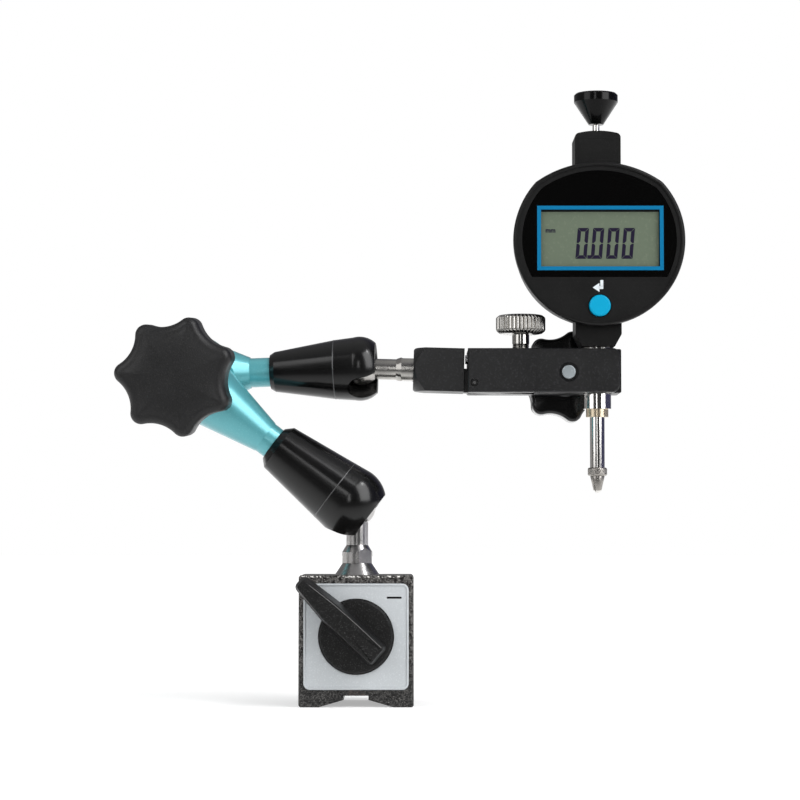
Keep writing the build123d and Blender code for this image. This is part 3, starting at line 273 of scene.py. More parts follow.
def pillow(low: float, high: float, low_round: float, high_round: float, steps: int = 10) -> np.ndarray:
    """Profile of a slab with rounded rims, from its low face round its side to its high face.

    Args:
        low: Height of the low face.
        high: Height of the high face.
        low_round: Radius of the rim at the low face.
        high_round: Radius of the rim at the high face.
        steps: Rows on each rim.

    Returns:
        Rows of inset and height.
    """
    bottom = quarter_round(low_round, steps) + [0, low]
    top = quarter_round(high_round, steps)[::-1] * [1, -1] + [0, high]
    return np.concatenate([bottom, top])


def thread(radius: float, depth: float, pitch: float, low: float, high: float, steps: int = 40) -> np.ndarray:
    """Rings of a screw thread: the radius falls and rises with height less pitch x turn.

    The radius is radius - depth x |2 x part - 1|, where part is the fraction of a pitch at that height and
    angle. Both ends fade into the core.

    Args:
        radius: Radius over the crests.
        depth: Depth of the thread.
        pitch: Rise of one turn.
        low: Height of the low end.
        high: Height of the high end.
        steps: Points round each ring.

    Returns:
        Rings as an array of rows by points by three.
    """
    height = np.arange(low, high + pitch / 16, pitch / 8)
    angle = full_turn(steps)
    part = (height[:, None] / pitch - angle / (2 * math.pi)) % 1.0
    near = np.clip(np.minimum(height - low, high - height) / (pitch / 2), 0, 1)[:, None]
    reach = radius - depth * (1 - near * (1 - np.abs(2 * part - 1)))
    return lifted(around(angle) * reach[..., None], height)


@dataclass
class Wiring:
    """Adds nodes to one shader tree and joins them."""

    tree: bpy.types.NodeTree

    def feed(self, given: object, target: Socket) -> None:
        """Give an input what it reads: an output is joined to it, and a plain value is set on it.

        Args:
            given: The output, or the number, vector or colour.
            target: The input.
        """
        if isinstance(given, Socket):
            self.tree.links.new(given, target)
        else:
            target.default_value = (*given, 1.0) if target.type == "RGBA" else given

    def node(self, kind: str, given: Feeds | None = None, **settings: object) -> bpy.types.Node:
        """Add a node.

        Args:
            kind: Type of the node.
            given: What its inputs read, by their names or numbers.
            settings: The node's own properties.

        Returns:
            The node.
        """
        made = self.tree.nodes.new(kind)
        for name, value in settings.items():
            setattr(made, name, value)
        for label, value in (given or {}).items():
            self.feed(value, made.inputs[label])
        return made

    def parts(self, where: Socket) -> bpy.types.NodeOutputs:
        """The X, Y and Z of a place."""
        return self.node("ShaderNodeSeparateXYZ", {0: where}).outputs

    def noise(self, where: Socket, scale: object, detail: float = 2.0) -> Socket:
        """The value of a noise texture at a place."""
        given = {"Vector": where, "Scale": scale, "Detail": detail}
        return self.node("ShaderNodeTexNoise", given).outputs["Fac"]

    def maths(self, operation: str, first: object, second: object = 0.0) -> Socket:
        """The result of a sum of two values, each a number or an output."""
        return self.node("ShaderNodeMath", {0: first, 1: second}, operation=operation).outputs[0]

    def spread(
        self, value: Socket, low: float, high: float, to_low: object = 0.0, to_high: object = 1.0
    ) -> Socket:
        """A value's range mapped to another range, whose ends are numbers or outputs."""
        given = {"Value": value, "From Min": low, "From Max": high, "To Min": to_low, "To Max": to_high}
        return self.node("ShaderNodeMapRange", given).outputs["Result"]

    def blend(self, share: Socket, first: object, second: object) -> Socket:
        """A mix of two colours, each a colour or an output."""
        return self.node("ShaderNodeMix", {"Factor": share, 6: first, 7: second}, data_type="RGBA").outputs[2]

    def drift(self, cloud: Socket, given: bpy.types.NodeOutputs) -> Socket:
        """Roughness that drifts with a cloud, by the group's change to either side.

        Args:
            cloud: The noise that it follows.
            given: The group's inputs, with Roughness and Change.

        Returns:
            The roughness.
        """
        low = self.maths("SUBTRACT", given["Roughness"], given["Change"])
        high = self.maths("ADD", given["Roughness"], given["Change"])
        return self.spread(cloud, *SOFT_BAND, low, high)


def group(name: str, **more: object) -> tuple[Wiring, bpy.types.NodeOutputs, bpy.types.NodeInputs]:
    """Start a shader group that turns a place, a size and two colours into colour, roughness and height.

    Args:
        name: Name of the group.
        more: Default of each further input; a tuple is a colour.

    Returns:
        The group's wiring, and its input and output sockets by name.
    """
    tree = bpy.data.node_groups.new(name, "ShaderNodeTree")
    tree.interface.new_socket(name="Place", in_out="INPUT", socket_type="NodeSocketVector")
    for label, default in {"Size": 1000.0, "Colour": grey(0.1), "Second": grey(0.1), **more}.items():
        kind, value = ("Color", (*default, 1.0)) if isinstance(default, tuple) else ("Float", default)
        socket = tree.interface.new_socket(name=label, in_out="INPUT", socket_type=f"NodeSocket{kind}")
        socket.default_value = value
    for label, kind in (("Colour", "Color"), ("Roughness", "Float"), ("Height", "Float")):
        tree.interface.new_socket(name=label, in_out="OUTPUT", socket_type=f"NodeSocket{kind}")
    wire = Wiring(tree)
    return wire, wire.node("NodeGroupInput").outputs, wire.node("NodeGroupOutput").inputs


@cache
def grain_group() -> bpy.types.NodeTree:
    """Fine moulded grain: two noises give the height, the finer one the flecks, a soft third the roughness.

    Returns:
        The group, the same at each call.
    """
    cloud_size, coarse_size = 90.0, 0.35
    fleck_band = (0.55, 0.75)
    fine_share, coarse_share = 0.6, 0.4
    wire, given, out = group("fine_grain", Roughness=0.5, Change=0.08)
    place = given["Place"]
    fine = wire.noise(place, given["Size"], detail=3.0)
    coarse = wire.noise(place, wire.maths("MULTIPLY", given["Size"], coarse_size))
    wire.feed(wire.blend(wire.spread(fine, *fleck_band), given["Colour"], given["Second"]), out["Colour"])
    wire.feed(wire.drift(wire.noise(place, cloud_size, detail=3.0), given), out["Roughness"])
    low, high = wire.maths("MULTIPLY", fine, fine_share), wire.maths("MULTIPLY", coarse, coarse_share)
    wire.feed(wire.maths("ADD", low, high), out["Height"])
    return wire.tree


@cache
def turning_group() -> bpy.types.NodeTree:
    """Tool rings of a turned part: noise drawn out round the axis, so that it changes only along it.

    Returns:
        The group, the same at each call.
    """
    cloud_size, shade_band = 160.0, (0.35, 0.7)
    wire, given, out = group("turning_rings", Roughness=0.25, Change=0.08)
    along = wire.node("ShaderNodeCombineXYZ", {"Z": wire.parts(given["Place"])["Z"]}).outputs[0]
    cloud = wire.noise(given["Place"], cloud_size, detail=4.0)
    wire.feed(wire.blend(wire.spread(cloud, *shade_band), given["Colour"], given["Second"]), out["Colour"])
    wire.feed(wire.drift(cloud, given), out["Roughness"])
    wire.feed(wire.noise(along, given["Size"], detail=3.0), out["Height"])
    return wire.tree


@cache
def hammer_group() -> bpy.types.NodeTree:
    """Hammered paint: rounded cells between sunk lines, with pale streaks along some lines and fine flecks.

    It darkens towards the floor as painted shade. Pale specks of painted highlight lie along the edge at the
    height Top, nearer than Front.

    Returns:
        The group, the same at each call.
    """
    ripple_size, ripple_reach, smoothness = 700.0, 0.0014, 0.5
    patch_size, tone_band, roughness = 900.0, (0.36, 0.62), (0.20, 0.40)
    line_band, line_strength, streak_band = (0.0, 0.11), 0.75, (0.42, 0.6)
    fleck_size, fleck_band, fleck_strength = 2600.0, (0.57, 0.68), 0.9
    # painted shade: the paint darkens towards the floor, where shade falls
    painted_shade_band, painted_shade_strength = (0.004, 0.020), 0.85
    painted_shade_fade, painted_shade_tone = 0.55, grey(0.003)
    # painted highlight: pale specks along the top front edge, where the rounded edge catches the light
    edge_band, front_band = (0.0001, 0.0003), (-0.0002, 0.0)
    painted_highlight_size, painted_highlight_band, painted_highlight_tone = 1300.0, (0.54, 0.6), (0.85, 0.83, 0.80)
    wire, given, out = group("hammered_paint", Light=grey(0.2), Top=0.0358, Front=-0.0166)
    place = given["Place"]
    ripple = wire.noise(place, ripple_size, detail=3.0).node.outputs["Color"]
    rippled = {0: ripple, 1: (ripple_reach,) * 3, 2: place}
    warp = wire.node("ShaderNodeVectorMath", rippled, operation="MULTIPLY_ADD").outputs[0]
    cells, edges = (
        wire.node("ShaderNodeTexVoronoi", {"Scale": given["Size"], "Vector": warp}, feature=feature)
        for feature in ("SMOOTH_F1", "DISTANCE_TO_EDGE")
    )
    cells.inputs["Smoothness"].default_value = smoothness
    patch = wire.noise(place, patch_size, detail=4.0)
    tone = wire.blend(wire.spread(patch, *tone_band), given["Second"], given["Colour"])
    lines = wire.spread(edges.outputs["Distance"], *line_band, line_strength, 0.0)
    streak = wire.maths("MULTIPLY", lines, wire.spread(patch, *streak_band))
    fleck = wire.spread(wire.noise(place, fleck_size), *fleck_band, 0.0, fleck_strength)
    parts = wire.parts(place)
    # painted shade near the floor: a darker tone, and the pale veins fade there
    low = wire.spread(parts["Z"], *painted_shade_band, painted_shade_strength, 0.0)
    clear = wire.maths("SUBTRACT", 1.0, wire.maths("MULTIPLY", low, painted_shade_fade))
    veins = wire.maths("MULTIPLY", wire.maths("MAXIMUM", streak, fleck), clear)
    shaded = wire.blend(veins, wire.blend(low, tone, painted_shade_tone), given["Light"])
    # painted highlight specks along the top front edge
    drop = wire.maths("ABSOLUTE", wire.maths("SUBTRACT", parts["Z"], given["Top"]))
    front = wire.spread(wire.maths("SUBTRACT", parts["Y"], given["Front"]), *front_band, 1.0, 0.0)
    band = wire.maths("MULTIPLY", wire.spread(drop, *edge_band, 1.0, 0.0), front)
    painted_highlight = wire.maths("MULTIPLY", band, wire.spread(wire.noise(place, painted_highlight_size), *painted_highlight_band))
    wire.feed(wire.blend(painted_highlight, shaded, painted_highlight_tone), out["Colour"])
    wire.feed(wire.spread(patch, *SOFT_BAND, *roughness), out["Roughness"])
    wire.feed(wire.maths("SUBTRACT", 1.0, cells.outputs["Distance"]), out["Height"])
    return wire.tree


@dataclass(frozen=True)
class Finish:
    """A surface: a metal or plastic base with one shared effect for its colour, roughness and relief."""

    name: str
    colour: Colour
    second: Colour
    metallic: float = 0.0
    roughness: float = 0.5
    change: float = 0.08
    relief: float = 0.00002
    size: float = 3000.0
    coat: float = 0.0
    coat_roughness: float = 0.1
    specular: float = 0.5
    turn: Point = (0.0, 0.0, 0.0)

    def effect(self) -> tuple[bpy.types.NodeTree, Feeds]:
        """The shared group, and the values of its further inputs."""
        return grain_group(), {"Roughness": self.roughness, "Change": self.change}

    @cache
    def build(self) -> bpy.types.Material:
        """Make the material, whose pattern follows object coordinates.

        Returns:
            The material, the same at each call.
        """
        material = bpy.data.materials.new(self.name)
        material.use_nodes = True
        wire = Wiring(material.node_tree)
        where = wire.node("ShaderNodeTexCoord").outputs["Object"]
        turned = {"Vector": where, "Rotation": tuple(math.radians(degrees) for degrees in self.turn)}
        mapping = wire.node("ShaderNodeMapping", turned, vector_type="TEXTURE")
        tree, more = self.effect()
        given = {"Place": mapping.outputs["Vector"], "Size": self.size, "Colour": self.colour}
        given |= {"Second": self.second} | more
        pattern = wire.node("ShaderNodeGroup", given, node_tree=tree).outputs
        inputs = {
            "Base Color": pattern["Colour"], "Roughness": pattern["Roughness"],
            "Metallic": self.metallic, "Specular IOR Level": self.specular,
            "Coat Weight": self.coat, "Coat Roughness": self.coat_roughness,
        }
        if self.relief:
            bump = wire.node("ShaderNodeBump", {"Distance": self.relief, "Height": pattern["Height"]})
            inputs["Normal"] = bump.outputs["Normal"]
        shader = material.node_tree.nodes["Principled BSDF"]
        for label, value in inputs.items():
            wire.feed(value, shader.inputs[label])
        return material


@dataclass(frozen=True)
class TurnedFinish(Finish):
    """A turned metal whose tool rings run round its axis."""

    metallic: float = 1.0
    size: float = 9000.0

    def effect(self) -> tuple[bpy.types.NodeTree, Feeds]:
        """The turning group, and the values of its further inputs."""
        return turning_group(), {"Roughness": self.roughness, "Change": self.change}


@dataclass(frozen=True)
class HammeredPaint(Finish):
    """Hammered paint in three tones."""

    relief: float = 0.00022
    size: float = 1150.0
    light: Colour = (0.26, 0.25, 0.24)

    def effect(self) -> tuple[bpy.types.NodeTree, Feeds]:
        """The hammer group, and the value of its further input."""
        return hammer_group(), {"Light": self.light}


@dataclass(frozen=True)
class Finishes:
    """Every finish of the stand."""

    paint: Finish = HammeredPaint(
        "hammered_grey", (0.052, 0.049, 0.046), (0.007, 0.006, 0.006), coat=0.2, specular=0.3
    )
    brown_paint: Finish = HammeredPaint(
        "hammered_brown", (0.085, 0.045, 0.032), (0.030, 0.016, 0.011), coat=0.35, light=(0.2, 0.15, 0.12)
    )
    plate: Finish = Finish(
        "satin_plate", (0.53, 0.56, 0.58), (0.66, 0.69, 0.71), metallic=0.2, roughness=0.48, relief=0.000012,
        size=3400.0,
    )
    lever: Finish = Finish("grained_charcoal", grey(0.003), grey(0.050), relief=0.00008, specular=0.3)
    # painted highlight for the lever's lit upper edge
    painted_highlight: Finish = Finish("painted_highlight_line", grey(0.17), grey(0.30), roughness=0.4, relief=0.000004)
    cap: Finish = Finish(
        "black_cap", grey(0.002), grey(0.003), roughness=0.16, change=0.03, relief=0.000002, size=1500.0,
        specular=0.22,
    )
    knob: Finish = Finish(
        "matt_charcoal", (0.010, 0.010, 0.0105), grey(0.026), roughness=0.44, relief=0.00008, size=3400.0,
        specular=0.4,
    )
    gloss: Finish = Finish(
        "moulded_gloss", grey(0.002), grey(0.003), roughness=0.14, change=0.03, relief=0.000004, size=1500.0
    )
    housing: Finish = Finish(
        "black_gloss", grey(0.003), grey(0.005), roughness=0.2, change=0.04, relief=0.000006, size=2400.0,
        coat=0.1, specular=0.42,
    )
    block: Finish = Finish(
        "black_satin", (0.009, 0.009, 0.0095), (0.024, 0.024, 0.026), roughness=0.34, relief=0.00003,
        size=1600.0, specular=0.4,
    )
    pin: Finish = Finish("dark_pin", grey(0.09), grey(0.17), metallic=0.6, roughness=0.3, size=900.0)
    turquoise: Finish = Finish(
        "turquoise_satin", (0.12, 0.46, 0.51), (0.16, 0.53, 0.58), metallic=0.45, roughness=0.33, change=0.04,
        relief=0.000006, size=2600.0, coat=0.8, coat_roughness=0.22,
    )
    steel: Finish = TurnedFinish(
        "turned_steel", (0.62, 0.61, 0.60), (0.42, 0.41, 0.405), roughness=0.22, relief=0.000005
    )
    dark_steel: Finish = TurnedFinish(
        "dark_steel", (0.52, 0.505, 0.48), (0.34, 0.33, 0.315), roughness=0.24, relief=0.000005,
        turn=(0.0, 90.0, 0.0),
    )
    ground: Finish = TurnedFinish(
        "ground_steel", (0.45, 0.45, 0.46), (0.36, 0.36, 0.37), roughness=0.3, relief=0.000004
    )
    screw_end: Finish = Finish(
        "blued_end", (0.34, 0.38, 0.40), (0.60, 0.64, 0.66), metallic=0.5, roughness=0.35, relief=0.00004,
        size=520.0,
    )
    knurled: Finish = TurnedFinish(
        "knurled_chrome", (0.56, 0.545, 0.52), (0.44, 0.43, 0.41), roughness=0.16, change=0.03,
        relief=0.000001,
    )
    chrome: Finish = TurnedFinish(
        "polished_chrome", (0.80, 0.785, 0.76), (0.70, 0.685, 0.66), roughness=0.11, change=0.02, relief=0.0,
        size=2000.0,
    )
    champagne: Finish = TurnedFinish(
        "warm_ring_metal", (0.74, 0.63, 0.46), (0.64, 0.54, 0.40), roughness=0.28, change=0.03,
        relief=0.000001,
    )
    nickel: Finish = TurnedFinish(
        "satin_nickel", (0.40, 0.38, 0.355), (0.32, 0.305, 0.285), roughness=0.34, relief=0.0
    )
    brass: Finish = TurnedFinish("turned_brass", (0.62, 0.45, 0.18), (0.52, 0.37, 0.14), roughness=0.3)
    case: Finish = Finish(
        "case_charcoal", grey(0.0035), grey(0.013), roughness=0.42, size=4200.0, specular=0.28
    )
    lens: Finish = Finish(
        "deep_black_glass", grey(0.0008), grey(0.001), roughness=0.05, change=0.01, relief=0.0000005,
        size=600.0, specular=0.4,
    )
    display: Finish = Finish(
        "display_grey_green", (0.110, 0.138, 0.098), (0.133, 0.160, 0.115), relief=0.000002, size=1200.0,
        specular=0.15,
    )
    digits: Finish = Finish(
        "display_ink", (0.008, 0.004, 0.022), (0.012, 0.008, 0.030), relief=0.000002, specular=0.2
    )
    blue_frame: Finish = Finish(
        "blue_print", (0.0005, 0.140, 0.30), (0.001, 0.155, 0.33), relief=0.000002, specular=0.1
    )
    button: Finish = Finish(
        "sky_blue_cap", (0.0004, 0.30, 0.51), (0.001, 0.33, 0.55), roughness=0.3, change=0.05,
        relief=0.000006, specular=0.15,
    )
    white_ink: Finish = Finish(
        "white_print", (0.66, 0.71, 0.74), (0.76, 0.81, 0.84), roughness=0.45, relief=0.000004
    )
    # dark print, also used for the painted shadow on the display and the rings of painted shade
    dark_print_and_shade: Finish = Finish(
        "dark_print_and_painted_shade", grey(0.006), grey(0.012), roughness=0.6, relief=0.000004, specular=0.2
    )
    circuit: Finish = Finish(
        "circuit_green", (0.02, 0.12, 0.05), (0.03, 0.16, 0.07), roughness=0.4, size=900.0
    )
    magnet: Finish = Finish(
        "magnet_core", (0.20, 0.20, 0.21), (0.28, 0.28, 0.29), metallic=0.9, roughness=0.45, size=2200.0
    )
    cell: Finish = TurnedFinish("plated_cell", grey(0.62), grey(0.5), roughness=0.3)
    seam: Finish = TurnedFinish(
        "seam_ring", (0.16, 0.16, 0.165), grey(0.10), metallic=0.8, roughness=0.35, relief=0.000004
    )


def dress(finish: Finish, *nodes: str) -> None:
    """Give frame nodes a finish.

    Args:
        finish: The finish.
        nodes: Names of the nodes.
    """
    for name in nodes:
        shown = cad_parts[name]
        if not shown.material_slots:
            shown.data.materials.append(finish.build())
        for socket in shown.material_slots:
            socket.material = finish.build()
        log.info("%s wears %s", name, finish.name)


@dataclass
class Piece:
    """One new mesh, made of closed surfaces in the frame, that rides on a body."""

    name: str
    body: str
    slot: Slot
    points: list[np.ndarray] = field(default_factory=list)
    faces: list[np.ndarray] = field(default_factory=list)
    count: int = 0

    def add(self, rings: np.ndarray, place: Place, ends: Ends = Ends.CLOSED) -> "Piece":
        """Add a surface: quads join neighbouring rings, and each end is a fan to its middle.

        Args:
            rings: Rows of rings in the shape's own directions.
            place: Where the shape goes.
            ends: Whether the end rings are closed, or joined to each other.

        Returns:
            This piece, so that calls can follow one another.
        """
        rows, columns = rings.shape[:2]
        spots = place.put(rings.reshape(-1, 3))
        index = np.arange(rows * columns).reshape(rows, columns)
        step = np.roll(index, -1, axis=1)
        last = rows if ends is Ends.JOINED else rows - 1
        after, after_step = np.roll(index, -1, axis=0), np.roll(step, -1, axis=0)
        faces = np.stack([index, step, after_step, after], axis=-1)[:last].reshape(-1, 4)
        if ends is Ends.CLOSED:
            first = np.full(columns, len(spots))
            low = np.stack([step[0], index[0], first, first], axis=-1)
            high = np.stack([index[-1], step[-1], first + 1, first + 1], axis=-1)
            faces = np.concatenate([faces, low, high])
            spots = np.concatenate([spots, [spots[index[0]].mean(0), spots[index[-1]].mean(0)]])
        corner = spots[faces]
        volume = np.einsum("ni,ni->", corner[:, 0], np.cross(corner[:, 1], corner[:, 2]))
        volume += np.einsum("ni,ni->", corner[:, 0], np.cross(corner[:, 2], corner[:, 3]))
        self.points.append(spots)
        self.faces.append((faces[:, ::-1] if volume < 0 else faces) + self.count)
        self.count += len(spots)
        return self

    def sign(self, corners: np.ndarray, place: Place, rise: float = PRINT_RISE) -> None:
        """Add one flat sign, a convex outline raised by the print's thickness.

        Args:
            corners: Corners of the sign in its own x and y.
            place: Where the sign goes.
            rise: Thickness of the print.
        """
        low = np.concatenate([np.asarray(corners, float), np.zeros((len(corners), 1))], axis=-1)
        self.add(np.stack([low, low + [0, 0, rise]]), place)

    def bar(self, left: float, low: float, right: float, high: float, place: Place) -> None:
        """Add one flat rectangular sign."""
        self.sign([[left, low], [right, low], [right, high], [left, high]], place)

    def build(self, finish: Finish, stands_for: str = "", sharp: float = 32.0) -> None:
        """Lay the surfaces down as one mesh, dress it and hang it on its body.

        Args:
            finish: Finish of the whole piece.
            stands_for: Node of the frame that this piece is shown for.
            sharp: Angle in degrees above which an edge stays sharp.
        """
        points, faces = np.concatenate(self.points), np.concatenate(self.faces)
        single = (faces[:, 2] == faces[:, 3]) | (faces[:, 0] == faces[:, 1])
        quads, fans = faces[~single], faces[single]
        fans = np.where((fans[:, 0] == fans[:, 1])[:, None], fans[:, 1:], fans[:, :3])
        corners = np.concatenate([quads.ravel(), fans.ravel()]).astype(np.int32)
        starts = np.concatenate([np.arange(len(quads)) * 4, len(quads) * 4 + np.arange(len(fans)) * 3])
        mesh = bpy.data.meshes.new(self.name)
        mesh.vertices.add(len(points))
        mesh.vertices.foreach_set("co", points.astype(np.float32).ravel())
        mesh.loops.add(len(corners))
        mesh.loops.foreach_set("vertex_index", corners)
        mesh.polygons.add(len(starts))
        mesh.polygons.foreach_set("loop_start", starts.astype(np.int32))
        mesh.update(calc_edges=True)
        mesh.validate()
        mesh.shade_smooth()
        mesh.set_sharp_from_angle(angle=math.radians(sharp))
        self.hang(mesh, finish, stands_for)

    def hang(self, mesh: bpy.types.Mesh, finish: Finish, stands_for: str = "") -> None:
        """Dress a mesh and hang it on the piece's body.

        Args:
            mesh: The mesh, in the frame.
            finish: Finish of the whole piece.
            stands_for: Node of the frame that this piece is shown for.
        """
        mesh.materials.clear()
        mesh.materials.append(finish.build())
        piece = bpy.data.objects.new(self.name, mesh)
        bpy.context.scene.collection.objects.link(piece)
        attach(piece, self.body)
        if stands_for:
            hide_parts(stands_for)
        log.info("%s: %d faces on %s", self.name, len(mesh.polygons), self.body)


@dataclass
class MagneticBase:
    """Painted magnet block with its plate and lever."""

    plate_centre: Point = (0.0, -17.8, 19.35)
    plate_size: Spot = (28.9, 29.1)
    plate_corner: float = 1.8
    rim_width: float = 0.65
    rim_rise: float = 0.26
    rim_root: float = 0.2
    rim_inset: float = 0.02
    dash_centre: Spot = (10.48, 30.04)
    dash_size: Spot = (4.07, 0.55)
    dash_corner: float = 0.12
    dash_bevel: float = 0.03
    switch_height: float = 19.35
    disc_front: float = -19.4
    disc_radius: float = 10.15
    disc_rise: float = 1.6
    disc_edge: float = 0.5
    hub_radius: float = 6.0
    hub_reach: Spot = (-5.9, -1.0)
    lever_rise: float = 8.38
    lever_root: float = 0.4
    lever_flare: float = 0.85
    lever_edge: float = 0.32
    lever_flat: Spot = (0.04, 0.38)
    lever_corners: tuple[Spot, ...] = (
        (-16.0, 13.65), (-8.8, 5.0), (4.15, -6.95), (7.6, -2.95), (-4.9, 8.85), (-14.1, 15.85),
    )
    lever_rounds: tuple[float, ...] = (0.8, 16.0, 0.5, 0.5, 16.0, 0.8)
    # path of the painted highlight along the lever's upper edge
    painted_highlight_path: tuple[Spot, ...] = ((-12.6, 14.25), (-5.9, 9.0), (0.7, 3.25), (7.0, -2.7))
    painted_highlight_width: float = 0.12
    painted_highlight_rise: float = 0.01

    def build(self) -> None:
        """Dress the block and add the plate's rim, its mark, the painted highlight on the lever's edge and the
        lever.
        """
        dress(Finishes.paint, "pole_left", "pole_right", "top_spacer")
        dress(Finishes.brown_paint, "bottom_spacer")
        dress(Finishes.plate, "face_plate", "rear_cover")
        dress(Finishes.magnet, "rotor_magnet")
        dress(Finishes.steel, "tie_rods", "rotor_screw")
        self.plate_rim()
        self.mark()
        self.painted_highlight_line()
        self.lever()

    def plate_rim(self) -> None:
        """Pressed rim of the plate: a half round carried round the plate's outline."""
        angle = np.linspace(0.0, math.pi, 8)
        half = self.rim_width / 2
        arc = np.stack([half - half * np.cos(angle), self.rim_rise * np.sin(angle)], axis=-1)
        section = np.concatenate([arc, [[self.rim_width, -self.rim_root], [0.0, -self.rim_root]]])
        rings = swept(rounded_box(*self.plate_size, self.plate_corner), section + [self.rim_inset, 0.0])
        rim = Piece("plate_rim", "base", Slot.PLATE).add(rings, facing(*self.plate_centre), Ends.JOINED)
        rim.build(Finishes.plate, sharp=50)

    def mark(self) -> None:
        """Printed dash on the plate: a rounded box drawn in at its face."""
        line = rounded_box(*self.dash_size, self.dash_corner, 3)
        rings = swept(line, [(0.0, -PRINT_RISE), (0.0, PRINT_RISE / 2), (self.dash_bevel, PRINT_RISE)])
        place = facing(self.dash_centre[0], self.plate_centre[1], self.dash_centre[1])
        Piece("plate_mark", "base", Slot.PLATE).add(rings, place).build(Finishes.dark_print_and_shade)

    def painted_highlight_line(self) -> None:
        """Painted highlight along the lever's upper edge, where the light catches it: thin pale bars just
        inside the top's outline.
        """
        place = facing(0.0, self.disc_front - self.lever_rise, self.switch_height)
        piece = Piece("lever_edge_line", "switch", Slot.SWITCH)
        path = np.array(self.painted_highlight_path)
        for start, end in zip(path[:-1], path[1:]):
            across = unit([start[1] - end[1], end[0] - start[0]]) * self.painted_highlight_width
            piece.sign([start, end, end + across, start + across], place, self.painted_highlight_rise)
        piece.build(Finishes.painted_highlight)

    def lever(self) -> None:
        """Moulded lever on its disc: a tapered polygon drawn in as it rises, over turned rings."""
        place = facing(0.0, self.disc_front, self.switch_height)
        line = rounded_polygon(np.array(self.lever_corners), np.array(self.lever_rounds), 10)
        root = [(-self.lever_flare, -self.lever_root), (-self.lever_flare, 0.0)]
        top = quarter_round(self.lever_edge)[::-1] * [1, -1] + [0, self.lever_rise]
        flat = [(self.lever_edge + inset, self.lever_rise) for inset in self.lever_flat]
        rows = np.concatenate([root, top, flat])
        wide, edge = self.disc_radius, self.disc_edge
        grip = Piece("lever_grip", "switch", Slot.SWITCH).add(swept(line, rows), place)
        grip.add(lathe([(wide, -self.disc_rise), (wide, -edge), (wide - edge, 0.0)], 128), place)
        grip.add(lathe([(self.hub_radius, height) for height in self.hub_reach]), place)
        grip.build(Finishes.lever, "switch_lever")


@dataclass
class LobedKnob:
    """A moulded star grip with rounded rims and a round hub."""

    name: str
    body: str
    slot: Slot
    node: str
    place: Place
    tip: float
    valley: float
    lobe: float
    first: float
    hub_radius: float
    hub_height: float
    thickness: float
    back_round: float
    front_round: float
    crown: float = 0.0
    flatness: float = 4.0
    lobes: int = 7
    face_rings: int = 16
    face_core: float = 0.06
    hub_edge: float = 0.3
    hub_overlap: float = 0.5

    def build(self, finish: Finish) -> None:
        """Sweep the star through a rounded slab and turn the hub under it.

        The face shrinks ring by ring to its middle and rises by crown x (1 - share to the power of flatness).

        Args:
            finish: Finish of the grip.
        """
        line = star(self.tip, self.valley, self.lobe, self.lobes, self.first)
        high = self.hub_height + self.thickness - self.crown
        rings = swept(line, pillow(self.hub_height, high, self.back_round, self.front_round))
        share = np.linspace(1.0, self.face_core, self.face_rings)[1:, None, None]
        inner = rings[-1] * [1, 1, 0] * share + [0, 0, 1] * (high + self.crown * (1 - share**self.flatness))
        radius, edge = self.hub_radius, self.hub_edge
        hub = lathe([(radius - edge, 0.0), (radius, edge), (radius, self.hub_height + self.hub_overlap)], 72)
        grip = Piece(self.name, self.body, self.slot).add(np.concatenate([rings, inner]), self.place)
        grip.add(hub, self.place).build(finish, self.node, sharp=40)


